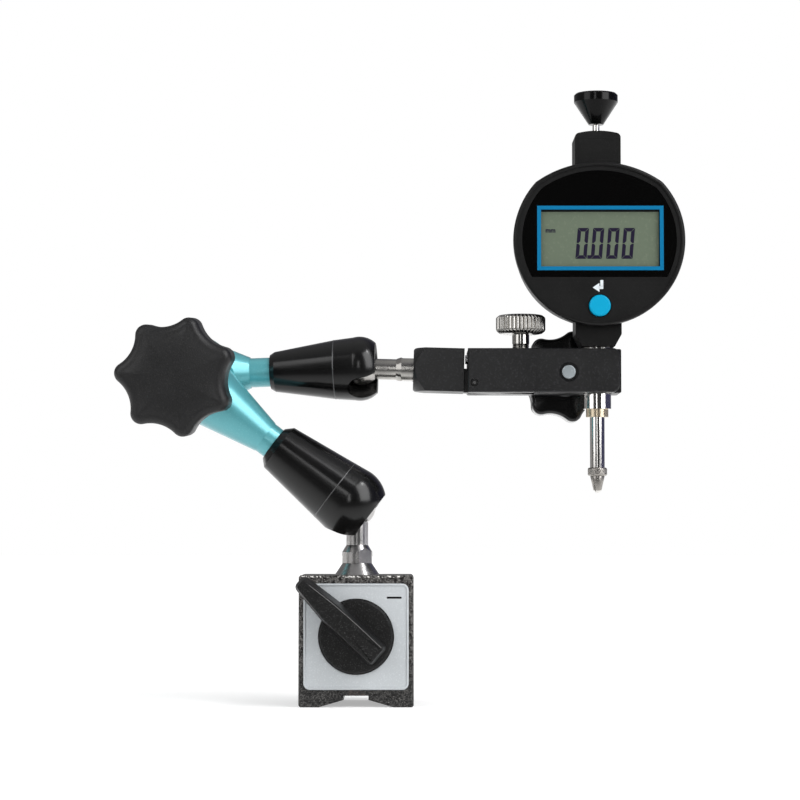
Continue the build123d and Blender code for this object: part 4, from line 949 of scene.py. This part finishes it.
@dataclass
class Arms:
    """Both arms with their studs, housings and elbow clamp."""

    elbow: Point = (-48.8421, 0.0, 92.2777)
    lower_axis: Point = (0.7955, 0.0, -0.606)
    elbow_axis: Point = (0.055976, 0.995725, 0.073478)
    knob_reach: float = 7.65
    upper_elbow: Point = (-48.1144, 12.9444, 93.2329)
    upper_axis: Point = (0.997684, -0.05863, 0.034485)
    lower_seam: Spot = (53.5, 9.5)
    upper_seam: Spot = (41.6, 8.5)
    seam_width: float = 0.35
    seam_rise: float = 0.05
    seam_sink: float = 0.02
    seam_root: float = 0.3

    def build(self) -> None:
        """Dress the arms, and add the seams of the housings and the elbow's knob."""
        dress(Finishes.steel, "lower_ball_stud", "clamp_bolt", "thrust_washer", "bolt_washer")
        dress(Finishes.dark_steel, "upper_ball_stud")
        dress(Finishes.turquoise, "lower_arm_tube", "upper_arm_tube")
        dress(Finishes.housing, "lower_sleeve", "lower_socket_cap", "upper_sleeve", "upper_socket_cap")
        dress(Finishes.ground, "lower_ball_seat", "upper_ball_seat", "lower_push_rod", "upper_push_rod")
        dress(Finishes.ground, "lower_wedge", "upper_wedge", "release_spring")
        dress(Finishes.brass, "knob_insert")
        self.seam("lower_seam_ring", "lower_arm", self.elbow, self.lower_axis, *self.lower_seam)
        self.seam("upper_seam_ring", "upper_arm", self.upper_elbow, self.upper_axis, *self.upper_seam)
        self.knob()

    def seam(self, name: str, body: str, start: Point, axis: Point, distance: float, radius: float) -> None:
        """Thin metal ring where a sleeve meets its cap: a shallow arc turned round the arm.

        Args:
            name: Name of the piece.
            body: Body that it rides on.
            start: Where the arm starts.
            axis: Direction of the arm.
            distance: Distance along the arm.
            radius: Radius of the housing there.
        """
        angle, half = np.linspace(0.0, math.pi, 6), self.seam_width / 2
        rise = radius - self.seam_sink + self.seam_rise * np.sin(angle)
        arc = np.stack([rise, distance - half * np.cos(angle)], axis=-1)
        root = radius - self.seam_root
        section = np.concatenate([arc, [[root, distance + half], [root, distance - half]]])
        place = Place(start, (0, 1, 0), axis)
        ring = Piece(name, body, Slot.BLACK_HOUSING).add(lathe(section, 96), place, Ends.JOINED)
        ring.build(Finishes.seam, sharp=50)

    def knob(self) -> None:
        """The large knob in front of the elbow."""
        axis = np.array(self.elbow_axis)
        place = Place(tuple(np.array(self.elbow) - axis * self.knob_reach), self.lower_axis, tuple(-axis))
        LobedKnob(
            "elbow_knob_grip", "elbow_knob", Slot.KNOB, "star_knob", place,
            tip=16.8, valley=13.9, lobe=2.95, first=213.5, hub_radius=8.2, hub_height=3.0,
            thickness=12.5, back_round=1.6, front_round=2.3, crown=0.9,
        ).build(Finishes.knob)


@dataclass
class ClampHead:
    """Shank, clamp blocks, knurled adjusting screw and rear knob."""

    screw_spot: Point = (46.7, 10.0539, 0.0)
    screw_tip: float = 92.3
    shaft_radius: float = 2.45
    thread_top: float = 102.2
    thread_pitch: float = 0.5
    thread_depth: float = 0.22
    head_radius: float = 7.1
    head_low: float = 104.853
    head_high: float = 110.303
    head_foot: tuple[Spot, ...] = ((1.9, 0.0), (1.0, 0.15), (0.25, 0.75), (0.0, 1.15), (0.0, 1.3))
    head_rim: tuple[Spot, ...] = ((0.0, 1.1), (0.0, 0.95), (0.2, 0.6), (0.9, 0.08), (1.5, 0.0))
    smooth_inset: float = 1.2
    neck_overlap: Spot = (0.2, 0.3)
    flutes: int = 36
    flute_depth: float = 0.65
    clamp_spot: Point = (60.0, 2.054, 93.503)
    hole_radius: float = 2.0
    ring_width: float = 0.36
    screw_dish: tuple[Spot, ...] = ((1.92, -0.6), (1.92, -0.12), (1.7, 0.0), (0.8, -0.09), (0.1, -0.12))
    pin_end: Point = (33.2, 2.2, 90.505)
    pin_radius: float = 0.98
    pin_centre: float = 0.42
    rear_spot: Point = (60.0, 20.104, 93.503)

    def build(self) -> None:
        """Dress the blocks, and make the adjusting screw, the rear knob and the ends of screw and pin with
        rings of painted shade.
        """
        dress(Finishes.block, "shank_block", "clamp_body", "front_jaw")
        dress(Finishes.pin, "pivot_pin", "set_screw")
        dress(Finishes.ground, "preload_pin")
        dress(Finishes.screw_end, "clamp_screw")
        self.adjusting_screw()
        # painted shade in the gaps round the clamp screw and the pivot pin
        self.painted_shade_ring("clamp_hole_ring", "jaw", self.clamp_spot, self.hole_radius, self.ring_width, 0.03, 64)
        self.screw_face()
        ring = self.pin_radius - self.pin_centre
        self.painted_shade_ring("pivot_pin_ring", "clamp_head", self.pin_end, self.pin_centre, ring, 0.05, 48)
        place = Place(self.rear_spot, (1, 0, 0), (0, 1, 0))
        LobedKnob(
            "rear_knob_grip", "jaw_knob", Slot.REAR_KNOB, "clamp_knob", place,
            tip=13.5, valley=11.3, lobe=2.7, first=180.0, hub_radius=6.0, hub_height=2.0,
            thickness=11.0, back_round=1.0, front_round=2.0,
        ).build(Finishes.gloss)

    def adjusting_screw(self) -> None:
        """Knurled screw: a fluted head with chamfers, a turned neck and a thread.

        The flutes fade into a smooth circle as a chamfer draws in: rim x (1 - smooth) + circle x smooth.
        """
        foot = np.array(self.head_foot) + [0, self.head_low]
        profile = np.concatenate([foot, np.array(self.head_rim) * [1, -1] + [0, self.head_high]])
        smooth = np.clip(np.abs(profile[:, 0]) / self.smooth_inset, 0, 1)[:, None, None]
        steps = 10
        rim = swept(fluted(self.head_radius, self.flute_depth, self.flutes, steps), profile)
        core = swept(circle(self.head_radius, self.flutes * steps), profile)
        neck_low, neck_high = self.thread_top - self.neck_overlap[0], self.head_low + self.neck_overlap[1]
        neck = lathe([(self.shaft_radius, neck_low), (self.shaft_radius, neck_high)], 48)
        place = Place(self.screw_spot)
        turns = thread(
            self.shaft_radius, self.thread_depth, self.thread_pitch, self.screw_tip, self.thread_top
        )
        screw = Piece("adjusting_screw", "fine_adjuster", Slot.CHROME)
        for rings in (rim * (1 - smooth) + core * smooth, neck, turns):
            screw.add(rings, place)
        screw.build(Finishes.knurled, "fine_screw", sharp=50)

    def painted_shade_ring(
        self, name: str, body: str, spot: Point, radius: float, width: float, rise: float, steps: int
    ) -> None:
        """Thin dark ring of painted shade in the gap round a screw end or pin, looking at the viewer: a
        bevelled strip turned round its middle.

        Args:
            name: Name of the piece.
            body: Body that it rides on.
            spot: Its middle.
            radius: Inner radius.
            width: Width of the strip.
            rise: Thickness of the strip.
            steps: Points round the ring.
        """
        wide, bevel = radius + width, 0.05
        rings = lathe([(radius, 0.0), (radius + bevel, rise), (wide - bevel, rise), (wide, 0.0)], steps)
        Piece(name, body, Slot.BLOCK).add(rings, facing(*spot), Ends.JOINED).build(Finishes.dark_print_and_shade)

    def screw_face(self) -> None:
        """Turned end of the clamp screw, a shallow dish with a bevelled rim."""
        face = Piece("clamp_screw_face", "jaw_knob", Slot.CHROME)
        face.add(lathe(self.screw_dish), facing(*self.clamp_spot)).build(Finishes.screw_end, sharp=20)


@dataclass
class Indicator:
    """Digital indicator: case, lens, display, button and marks."""

    lens_front: float = -1.496
    dial_centre: Spot = (68.551, 130.803)
    lens_radius: float = 21.9
    lens_top: float = 19.75
    lens_top_radius: float = 28.45
    lens_bottom: float = -10.65
    lens_back: float = -0.596
    lens_edge: float = 0.12
    lens_rays: int = 240
    window_centre: Spot = (68.815, 131.263)
    window_size: Spot = (33.6, 16.15)
    frame_width: float = 1.1
    frame_gap: float = 0.02
    panel_front: float = -0.496
    dial_front: float = -1.596
    digit_centres_x: tuple[float, ...] = (63.71, 68.06, 72.40, 76.75)
    digit_z: float = 129.83
    digit_height: float = 8.8
    digit_width: float = 3.2
    digit_lean: float = 0.085
    digit_gap: float = 0.08
    stroke: float = 1.02
    point_spot: Spot = (65.66, 125.95)
    unit_spot: Spot = (54.74, 133.52)
    unit_size: float = 1.85
    unit_weight: float = 0.08
    arrow_tip: Spot = (66.56, 117.17)
    arrow_head: tuple[Spot, ...] = ((0.0, 0.0), (1.9, -1.28), (1.9, 1.28))
    arrow_bars: tuple[tuple[float, ...], ...] = ((1.8, -0.42, 3.0, 0.42), (2.15, 0.3, 3.0, 2.1))
    box_front: float = 3.454
    line_top: Spot = (68.55, 160.5)
    line_width: float = 11.2
    line_thickness: float = 0.16
    line_drop: float = 8.0
    # size of the painted shadow on the display
    shade_top: float = 0.62
    shade_side: float = 0.3
    shade_under: float = 0.1

    def build(self) -> None:
        """Dress the indicator and add the display's signs, its painted shadow and the marks."""
        dress(Finishes.case, "gauge_case", "gauge_bezel", "back_cover")
        dress(Finishes.steel, "cover_screws")
        dress(Finishes.display, "lcd_panel")
        dress(Finishes.circuit, "circuit_board")
        dress(Finishes.gloss, "encoder_head")
        dress(Finishes.cell, "battery_cell")
        dress(Finishes.button, "set_button")
        dress(Finishes.chrome, "stem")
        dress(Finishes.champagne, "stem_ring")
        dress(Finishes.ground, "return_spring")
        self.glass()
        self.window_frame()
        self.panel_line()
        self.digits()
        self.display_painted_shadow()
        self.unit_sign()
        self.return_arrow()

    def at(self, spot: Spot, depth: float) -> Place:
        """A spot's place at a depth, looking at the viewer."""
        return facing(spot[0], depth, spot[1])

    def glass(self) -> None:
        """Black glass with a window: a section carried between an outer and an inner line.

        From the window's middle, a ray at each angle meets the inner rectangle at the smaller of half its
        width over |cos| and half its height over |sin|, and the outer line at the nearest of a side arc, a
        flatter top arc and a straight lower edge.
        """
        half = np.array(self.window_size) / 2
        shift = np.array(self.window_centre) - self.dial_centre
        corner = math.atan2(half[1], half[0])
        corners = np.array([corner, math.pi - corner, math.pi + corner, 2 * math.pi - corner])
        way = around(np.sort(np.concatenate([full_turn(self.lens_rays), corners])))
        top_middle = np.array([0.0, self.lens_top - self.lens_top_radius])
        arcs = []
        for middle, radius in ((np.zeros(2), self.lens_radius), (top_middle, self.lens_top_radius)):
            along = way @ (middle - shift)
            arcs.append(along + np.sqrt(along**2 + radius**2 - ((middle - shift) ** 2).sum()))
        level = np.full(len(way), 1e3)
        down = way[:, 1] < -0.05
        level[down] = (self.lens_bottom - shift[1]) / way[down, 1]
        outer = np.minimum.reduce([*arcs, level])
        inner = (half / np.maximum(np.abs(way), 1e-9)).min(-1)
        deep = self.lens_front - self.lens_back
        reach = np.stack([inner, outer - self.lens_edge, outer, outer, inner])
        rings = lifted(way * reach[..., None], [0.0, 0.0, -self.lens_edge, deep, deep])
        place = self.at(self.window_centre, self.lens_front)
        glass = Piece("dial_glass", "indicator", Slot.LENS).add(rings, place, Ends.JOINED)
        glass.build(Finishes.lens, "front_lens")

    def window_frame(self) -> None:
        """Blue printed frame round the window: a flat band carried round the window's outline."""
        line = Outline(RECTANGLE * np.array(self.window_size) / 2, RECTANGLE)
        out, gap = -self.frame_width, -self.frame_gap
        rings = swept(line, [(out, 0.0), (out, PRINT_RISE), (gap, PRINT_RISE), (gap, 0.0)])
        place = self.at(self.window_centre, self.lens_front)
        band = Piece("window_frame", "indicator", Slot.BUTTON).add(rings, place, Ends.JOINED)
        band.build(Finishes.blue_frame)

    def panel_line(self) -> None:
        """Fine dark line round the front of the upper box: three thin bars."""
        piece = Piece("panel_line", "indicator", Slot.CASE)
        half, thin, place = self.line_width / 2, self.line_thickness, self.at(self.line_top, self.box_front)
        piece.bar(-half, -thin, half, 0, place)
        for side in (-half, half - thin):
            piece.bar(side, -self.line_drop, side + thin, 0, place)
        piece.build(Finishes.dark_print_and_shade)

    def digits(self) -> None:
        """Four noughts of six leaning strokes each, with a point after the first."""
        piece = Piece("display_digits", "indicator", Slot.DISPLAY)
        wide, tall, thick, gap = self.digit_width / 2, self.digit_height / 2, self.stroke, self.digit_gap
        inner, under, half = wide - thick, tall - thick, thick / 2
        level = np.array([[gap - wide, tall], [wide - gap, tall], [inner, under], [-inner, under]])
        outside = [[wide, tall - gap], [wide, gap * 1.5], [wide - half, gap]]
        post = np.array([*outside, [inner, half + gap], [inner, under - gap]])
        for x in self.digit_centres_x:
            for stroke in (level, level * [1, -1], post, post * [-1, 1], post * [1, -1], post * [-1, -1]):
                leaning = stroke + stroke[:, 1:] * [self.digit_lean, 0]
                piece.sign(leaning, self.at((x, self.digit_z), self.panel_front))
        piece.bar(-half, -half, half, half, self.at(self.point_spot, self.panel_front))
        piece.build(Finishes.digits)

    def display_painted_shadow(self) -> None:
        """Painted shadow that the glass's window casts on the display along the top and the right: two thin
        dark bars.
        """
        piece = Piece("display_painted_shadow", "indicator", Slot.DISPLAY)
        wide, high = np.array(self.window_size) / 2 + self.shade_under
        place = self.at(self.window_centre, self.panel_front)
        piece.bar(-wide, high - self.shade_top, wide, high, place)
        piece.bar(wide - self.shade_side, -high, wide, high - self.shade_top, place)
        piece.build(Finishes.dark_print_and_shade)

    def unit_sign(self) -> None:
        """Unit sign of millimetres, as type turned into a mesh."""
        curve = bpy.data.curves.new("unit_type", "FONT")
        curve.body, curve.size = "mm", self.unit_size
        curve.offset, curve.extrude = self.unit_weight, PRINT_RISE / 2
        curve.align_x = curve.align_y = "CENTER"
        writer = bpy.data.objects.new("unit_type", curve)
        mesh = bpy.data.meshes.new_from_object(writer)
        bpy.data.objects.remove(writer)
        spots = np.empty(len(mesh.vertices) * 3, np.float32)
        mesh.vertices.foreach_get("co", spots)
        placed = self.at(self.unit_spot, self.panel_front).put(spots.reshape(-1, 3).astype(float))
        mesh.vertices.foreach_set("co", placed.astype(np.float32).ravel())
        mesh.update()
        Piece("unit_sign", "indicator", Slot.DISPLAY).hang(mesh, Finishes.digits)

    def return_arrow(self) -> None:
        """Return arrow above the button: a head and two bars."""
        piece = Piece("return_arrow", "indicator", Slot.CASE)
        place = self.at(self.arrow_tip, self.dial_front)
        piece.sign(self.arrow_head, place)
        for sides in self.arrow_bars:
            piece.bar(*sides, place)
        piece.build(Finishes.white_ink)


@dataclass
class Spindle:
    """Plunger with its knurled point, ball and lifting cap."""

    axis_spot: Point = (68.551, 10.0539, 0.0)
    collar_low: float = 64.203
    collar_high: float = 66.503
    collar_radius: float = 2.77
    collar_edge: float = 0.3
    knurls: int = 36
    knurl_depth: float = 0.07
    knurl_lean: float = 0.5
    knurl_fullness: float = 0.6
    cone: tuple[Spot, ...] = ((0.4, 60.003), (1.05, 60.003), (1.2, 60.183), (2.04, 63.953), (1.9, 64.303))

    def build(self) -> None:
        """Dress the moving spindle and make its knurled point."""
        dress(Finishes.chrome, "plunger", "contact_ball")
        dress(Finishes.cap, "lift_cap")
        dress(Finishes.display, "measuring_scale")
        self.knurled_point()

    def knurled_point(self) -> None:
        """Screwed-in point: a collar with crossed knurls over a turned cone.

        The collar's radius is radius - depth x (1 - crest), where the crest is |cos(n x (angle + lean x
        height)) x cos(n x (angle - lean x height))| to the power of the fullness. Small diamonds stand out.
        """
        height = np.linspace(self.collar_low, self.collar_high, 15)
        angle = full_turn(self.knurls * 6)
        lean = self.knurl_lean * (height - self.collar_low)[:, None] / self.collar_radius
        half = self.knurls / 2
        crest = np.abs(np.cos(half * (angle + lean)) * np.cos(half * (angle - lean))) ** self.knurl_fullness
        near = np.minimum(height - self.collar_low, self.collar_high - height) / self.collar_edge
        edge = np.clip(near, 0, 1)[:, None]
        reach = self.collar_radius - self.collar_edge * (1 - edge) - self.knurl_depth * (1 - crest) * edge
        place, collar = Place(self.axis_spot), lifted(around(angle) * reach[..., None], height)
        point = Piece("knurled_point", "spindle", Slot.CHROME).add(collar, place).add(lathe(self.cone), place)
        point.build(Finishes.nickel, "contact_point", sharp=55)


@dataclass(frozen=True)
class Viewpoint:
    """Camera where the photograph was taken from."""

    spot: Point = (13.004, -718.40, 46.183)
    pitch: float = 3.1235
    yaw: float = 0.0762
    focal_pixels: float = 2543.95
    picture_pixels: int = 800
    sensor: float = 36.0

    def build(self) -> None:
        """Set up the camera and make it the scene's."""
        data = bpy.data.cameras.new("photo_camera")
        data.sensor_width = self.sensor
        data.lens = self.focal_pixels / self.picture_pixels * self.sensor
        data.clip_start, data.clip_end = 0.01, 50.0
        camera = bpy.data.objects.new("photo_camera", data)
        camera.location = tuple(c * MM for c in self.spot)
        camera.rotation_euler = (math.radians(90 + self.pitch), 0.0, math.radians(self.yaw))
        bpy.context.scene.collection.objects.link(camera)
        bpy.context.scene.camera = camera


@dataclass(frozen=True)
class Softbox:
    """A soft lamp, given by its direction from the stand's middle.

    The azimuth runs in degrees from the viewer's side to the viewer's right, and the elevation upwards.
    Its distance and size, and the middle, are in metres.
    """

    name: str
    azimuth: float
    elevation: float
    distance: float
    width: float
    height: float
    radiance: float
    middle: Point = (0.013, 0.0, 0.09)

    def build(self) -> None:
        """Hang the lamp at middle + distance x direction, turned to the middle."""
        across, up = math.radians(self.azimuth), math.radians(self.elevation)
        way = np.array([math.sin(across) * math.cos(up), -math.cos(across) * math.cos(up), math.sin(up)])
        data = bpy.data.lights.new(self.name, "AREA")
        data.shape, data.size, data.size_y = "RECTANGLE", self.width, self.height
        data.energy = self.radiance * math.pi * self.width * self.height
        lamp = bpy.data.objects.new(self.name, data)
        lamp.location = np.array(self.middle) + self.distance * way
        lamp.rotation_euler = (math.pi / 2 - up, 0.0, across)
        bpy.context.scene.collection.objects.link(lamp)
        log.info("%s hangs at %s", self.name, tuple(round(c, 3) for c in lamp.location))


@dataclass(frozen=True)
class Studio:
    """Pale floor, white backdrop, a dim room on the viewer's side and soft lamps, with reaches in metres."""

    floor_half: float = 6.0
    floor_colour: Colour = (0.80, 0.80, 0.80)
    floor_before: float = 0.10
    floor_glow: float = 0.40
    far_glow: float = 0.80
    near_reach: float = 0.25
    far_reach: float = 1.1
    ambient: float = 0.55
    room_front: float = 0.05
    room_back: float = 0.30
    room_above: float = 0.40
    room_left: Colour = (0.27, 0.265, 0.26)
    room_right: Colour = (0.055, 0.055, 0.11)
    side_fade: Spot = (-0.9, 0.9)
    front_fade: Spot = (-0.95, -0.35)
    above_fade: Spot = (0.75, 0.98)
    back_fade: Spot = (0.80, 0.95)
    lamps: tuple[Softbox, ...] = (
        Softbox("key_softbox", 50.0, 29.0, 1.35, 0.87, 1.38, 3.9),
        Softbox("fill_softbox", -50.0, 24.0, 1.35, 0.80, 1.15, 1.9),
        Softbox("strip_softbox", -4.5, 12.0, 0.95, 0.10, 0.42, 3.6),
        Softbox("spot_softbox", 62.0, 54.0, 1.20, 0.14, 0.14, 16.0),
    )

    def build(self) -> None:
        """Light the scene."""
        bpy.context.scene.view_settings.view_transform = "Standard"
        self.world(bpy.context.scene)
        self.floor()
        for lamp in self.lamps:
            lamp.build()

    def room(self, wire: Wiring) -> Socket:
        """What mirrors show: a paler backdrop behind the stand and above it, and a dim room before it.

        Args:
            wire: Wiring of the world's tree.

        Returns:
            The colour by direction.
        """
        way = wire.parts(wire.node("ShaderNodeTexCoord").outputs["Generated"])
        walls = wire.blend(wire.spread(way["X"], *self.side_fade), self.room_left, self.room_right)
        dim = wire.blend(wire.spread(way["Y"], *self.front_fade, 1.0, 0.0), walls, grey(self.room_front))
        above = wire.blend(wire.spread(way["Z"], *self.above_fade), dim, grey(self.room_above))
        return wire.blend(wire.spread(way["Y"], *self.back_fade), above, grey(self.room_back))

    def world(self, scene: bpy.types.Scene) -> None:
        """White to the camera, the room in mirrors and an even soft light elsewhere.

        Args:
            scene: The scene that gets the world.
        """
        scene.world = bpy.data.worlds.new("studio")
        scene.world.use_nodes = True
        wire = Wiring(scene.world.node_tree)
        wire.tree.nodes.clear()
        rays = wire.node("ShaderNodeLightPath").outputs
        straight = wire.maths("MAXIMUM", rays["Is Camera Ray"], rays["Is Transmission Ray"])
        mirrored = wire.blend(rays["Is Glossy Ray"], grey(self.ambient), self.room(wire))
        shown = wire.node("ShaderNodeBackground", {"Color": wire.blend(straight, mirrored, grey(1.0))})
        wire.node("ShaderNodeOutputWorld", {0: shown.outputs[0]})

    def floor(self) -> None:
        """Level pale floor that keeps the shadow, with a glow to the camera that grows with distance."""
        mesh = bpy.data.meshes.new("studio_floor")
        half = self.floor_half
        corners = [(-half, -half, 0), (half, -half, 0), (half, half, 0), (-half, half, 0)]
        mesh.from_pydata(corners, [], [(0, 1, 2, 3)])
        floor = bpy.data.objects.new("studio_floor", mesh)
        material = bpy.data.materials.new("pale_floor")
        material.use_nodes = True
        wire = Wiring(material.node_tree)
        wire.tree.nodes.clear()
        rays = wire.node("ShaderNodeLightPath").outputs
        where = wire.node("ShaderNodeTexCoord").outputs["Object"]
        away = wire.node("ShaderNodeVectorMath", {0: where}, operation="LENGTH").outputs["Value"]
        before = wire.spread(wire.parts(where)["Y"], -self.near_reach, 0.0, 1.0, 0.0)
        dim = wire.maths("MULTIPLY", before, rays["Is Glossy Ray"])
        mirror = wire.maths("MAXIMUM", rays["Is Camera Ray"], rays["Is Glossy Ray"])
        seen = wire.maths("MAXIMUM", mirror, rays["Is Transmission Ray"])
        level = wire.spread(away, self.near_reach, self.far_reach, self.floor_glow, self.far_glow)
        level = wire.maths("MULTIPLY", level, wire.maths("SUBTRACT", 1.0, dim))
        colour = wire.blend(dim, self.floor_colour, grey(self.floor_before))
        paint = wire.node("ShaderNodeBsdfDiffuse", {"Color": colour})
        glow = wire.node("ShaderNodeEmission", {"Strength": wire.maths("MULTIPLY", seen, level)})
        both = wire.node("ShaderNodeAddShader", {0: paint.outputs[0], 1: glow.outputs[0]})
        wire.node("ShaderNodeOutputMaterial", {0: both.outputs[0]})
        mesh.materials.append(material)
        bpy.context.scene.collection.objects.link(floor)


def main() -> None:
    """Build the stand's looks, the studio and the camera."""
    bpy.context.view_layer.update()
    for part in (MagneticBase(), Arms(), ClampHead(), Indicator(), Spindle(), Viewpoint(), Studio()):
        part.build()
        log.info("%s is built", type(part).__name__)


if __name__ == "__main__":
    main()
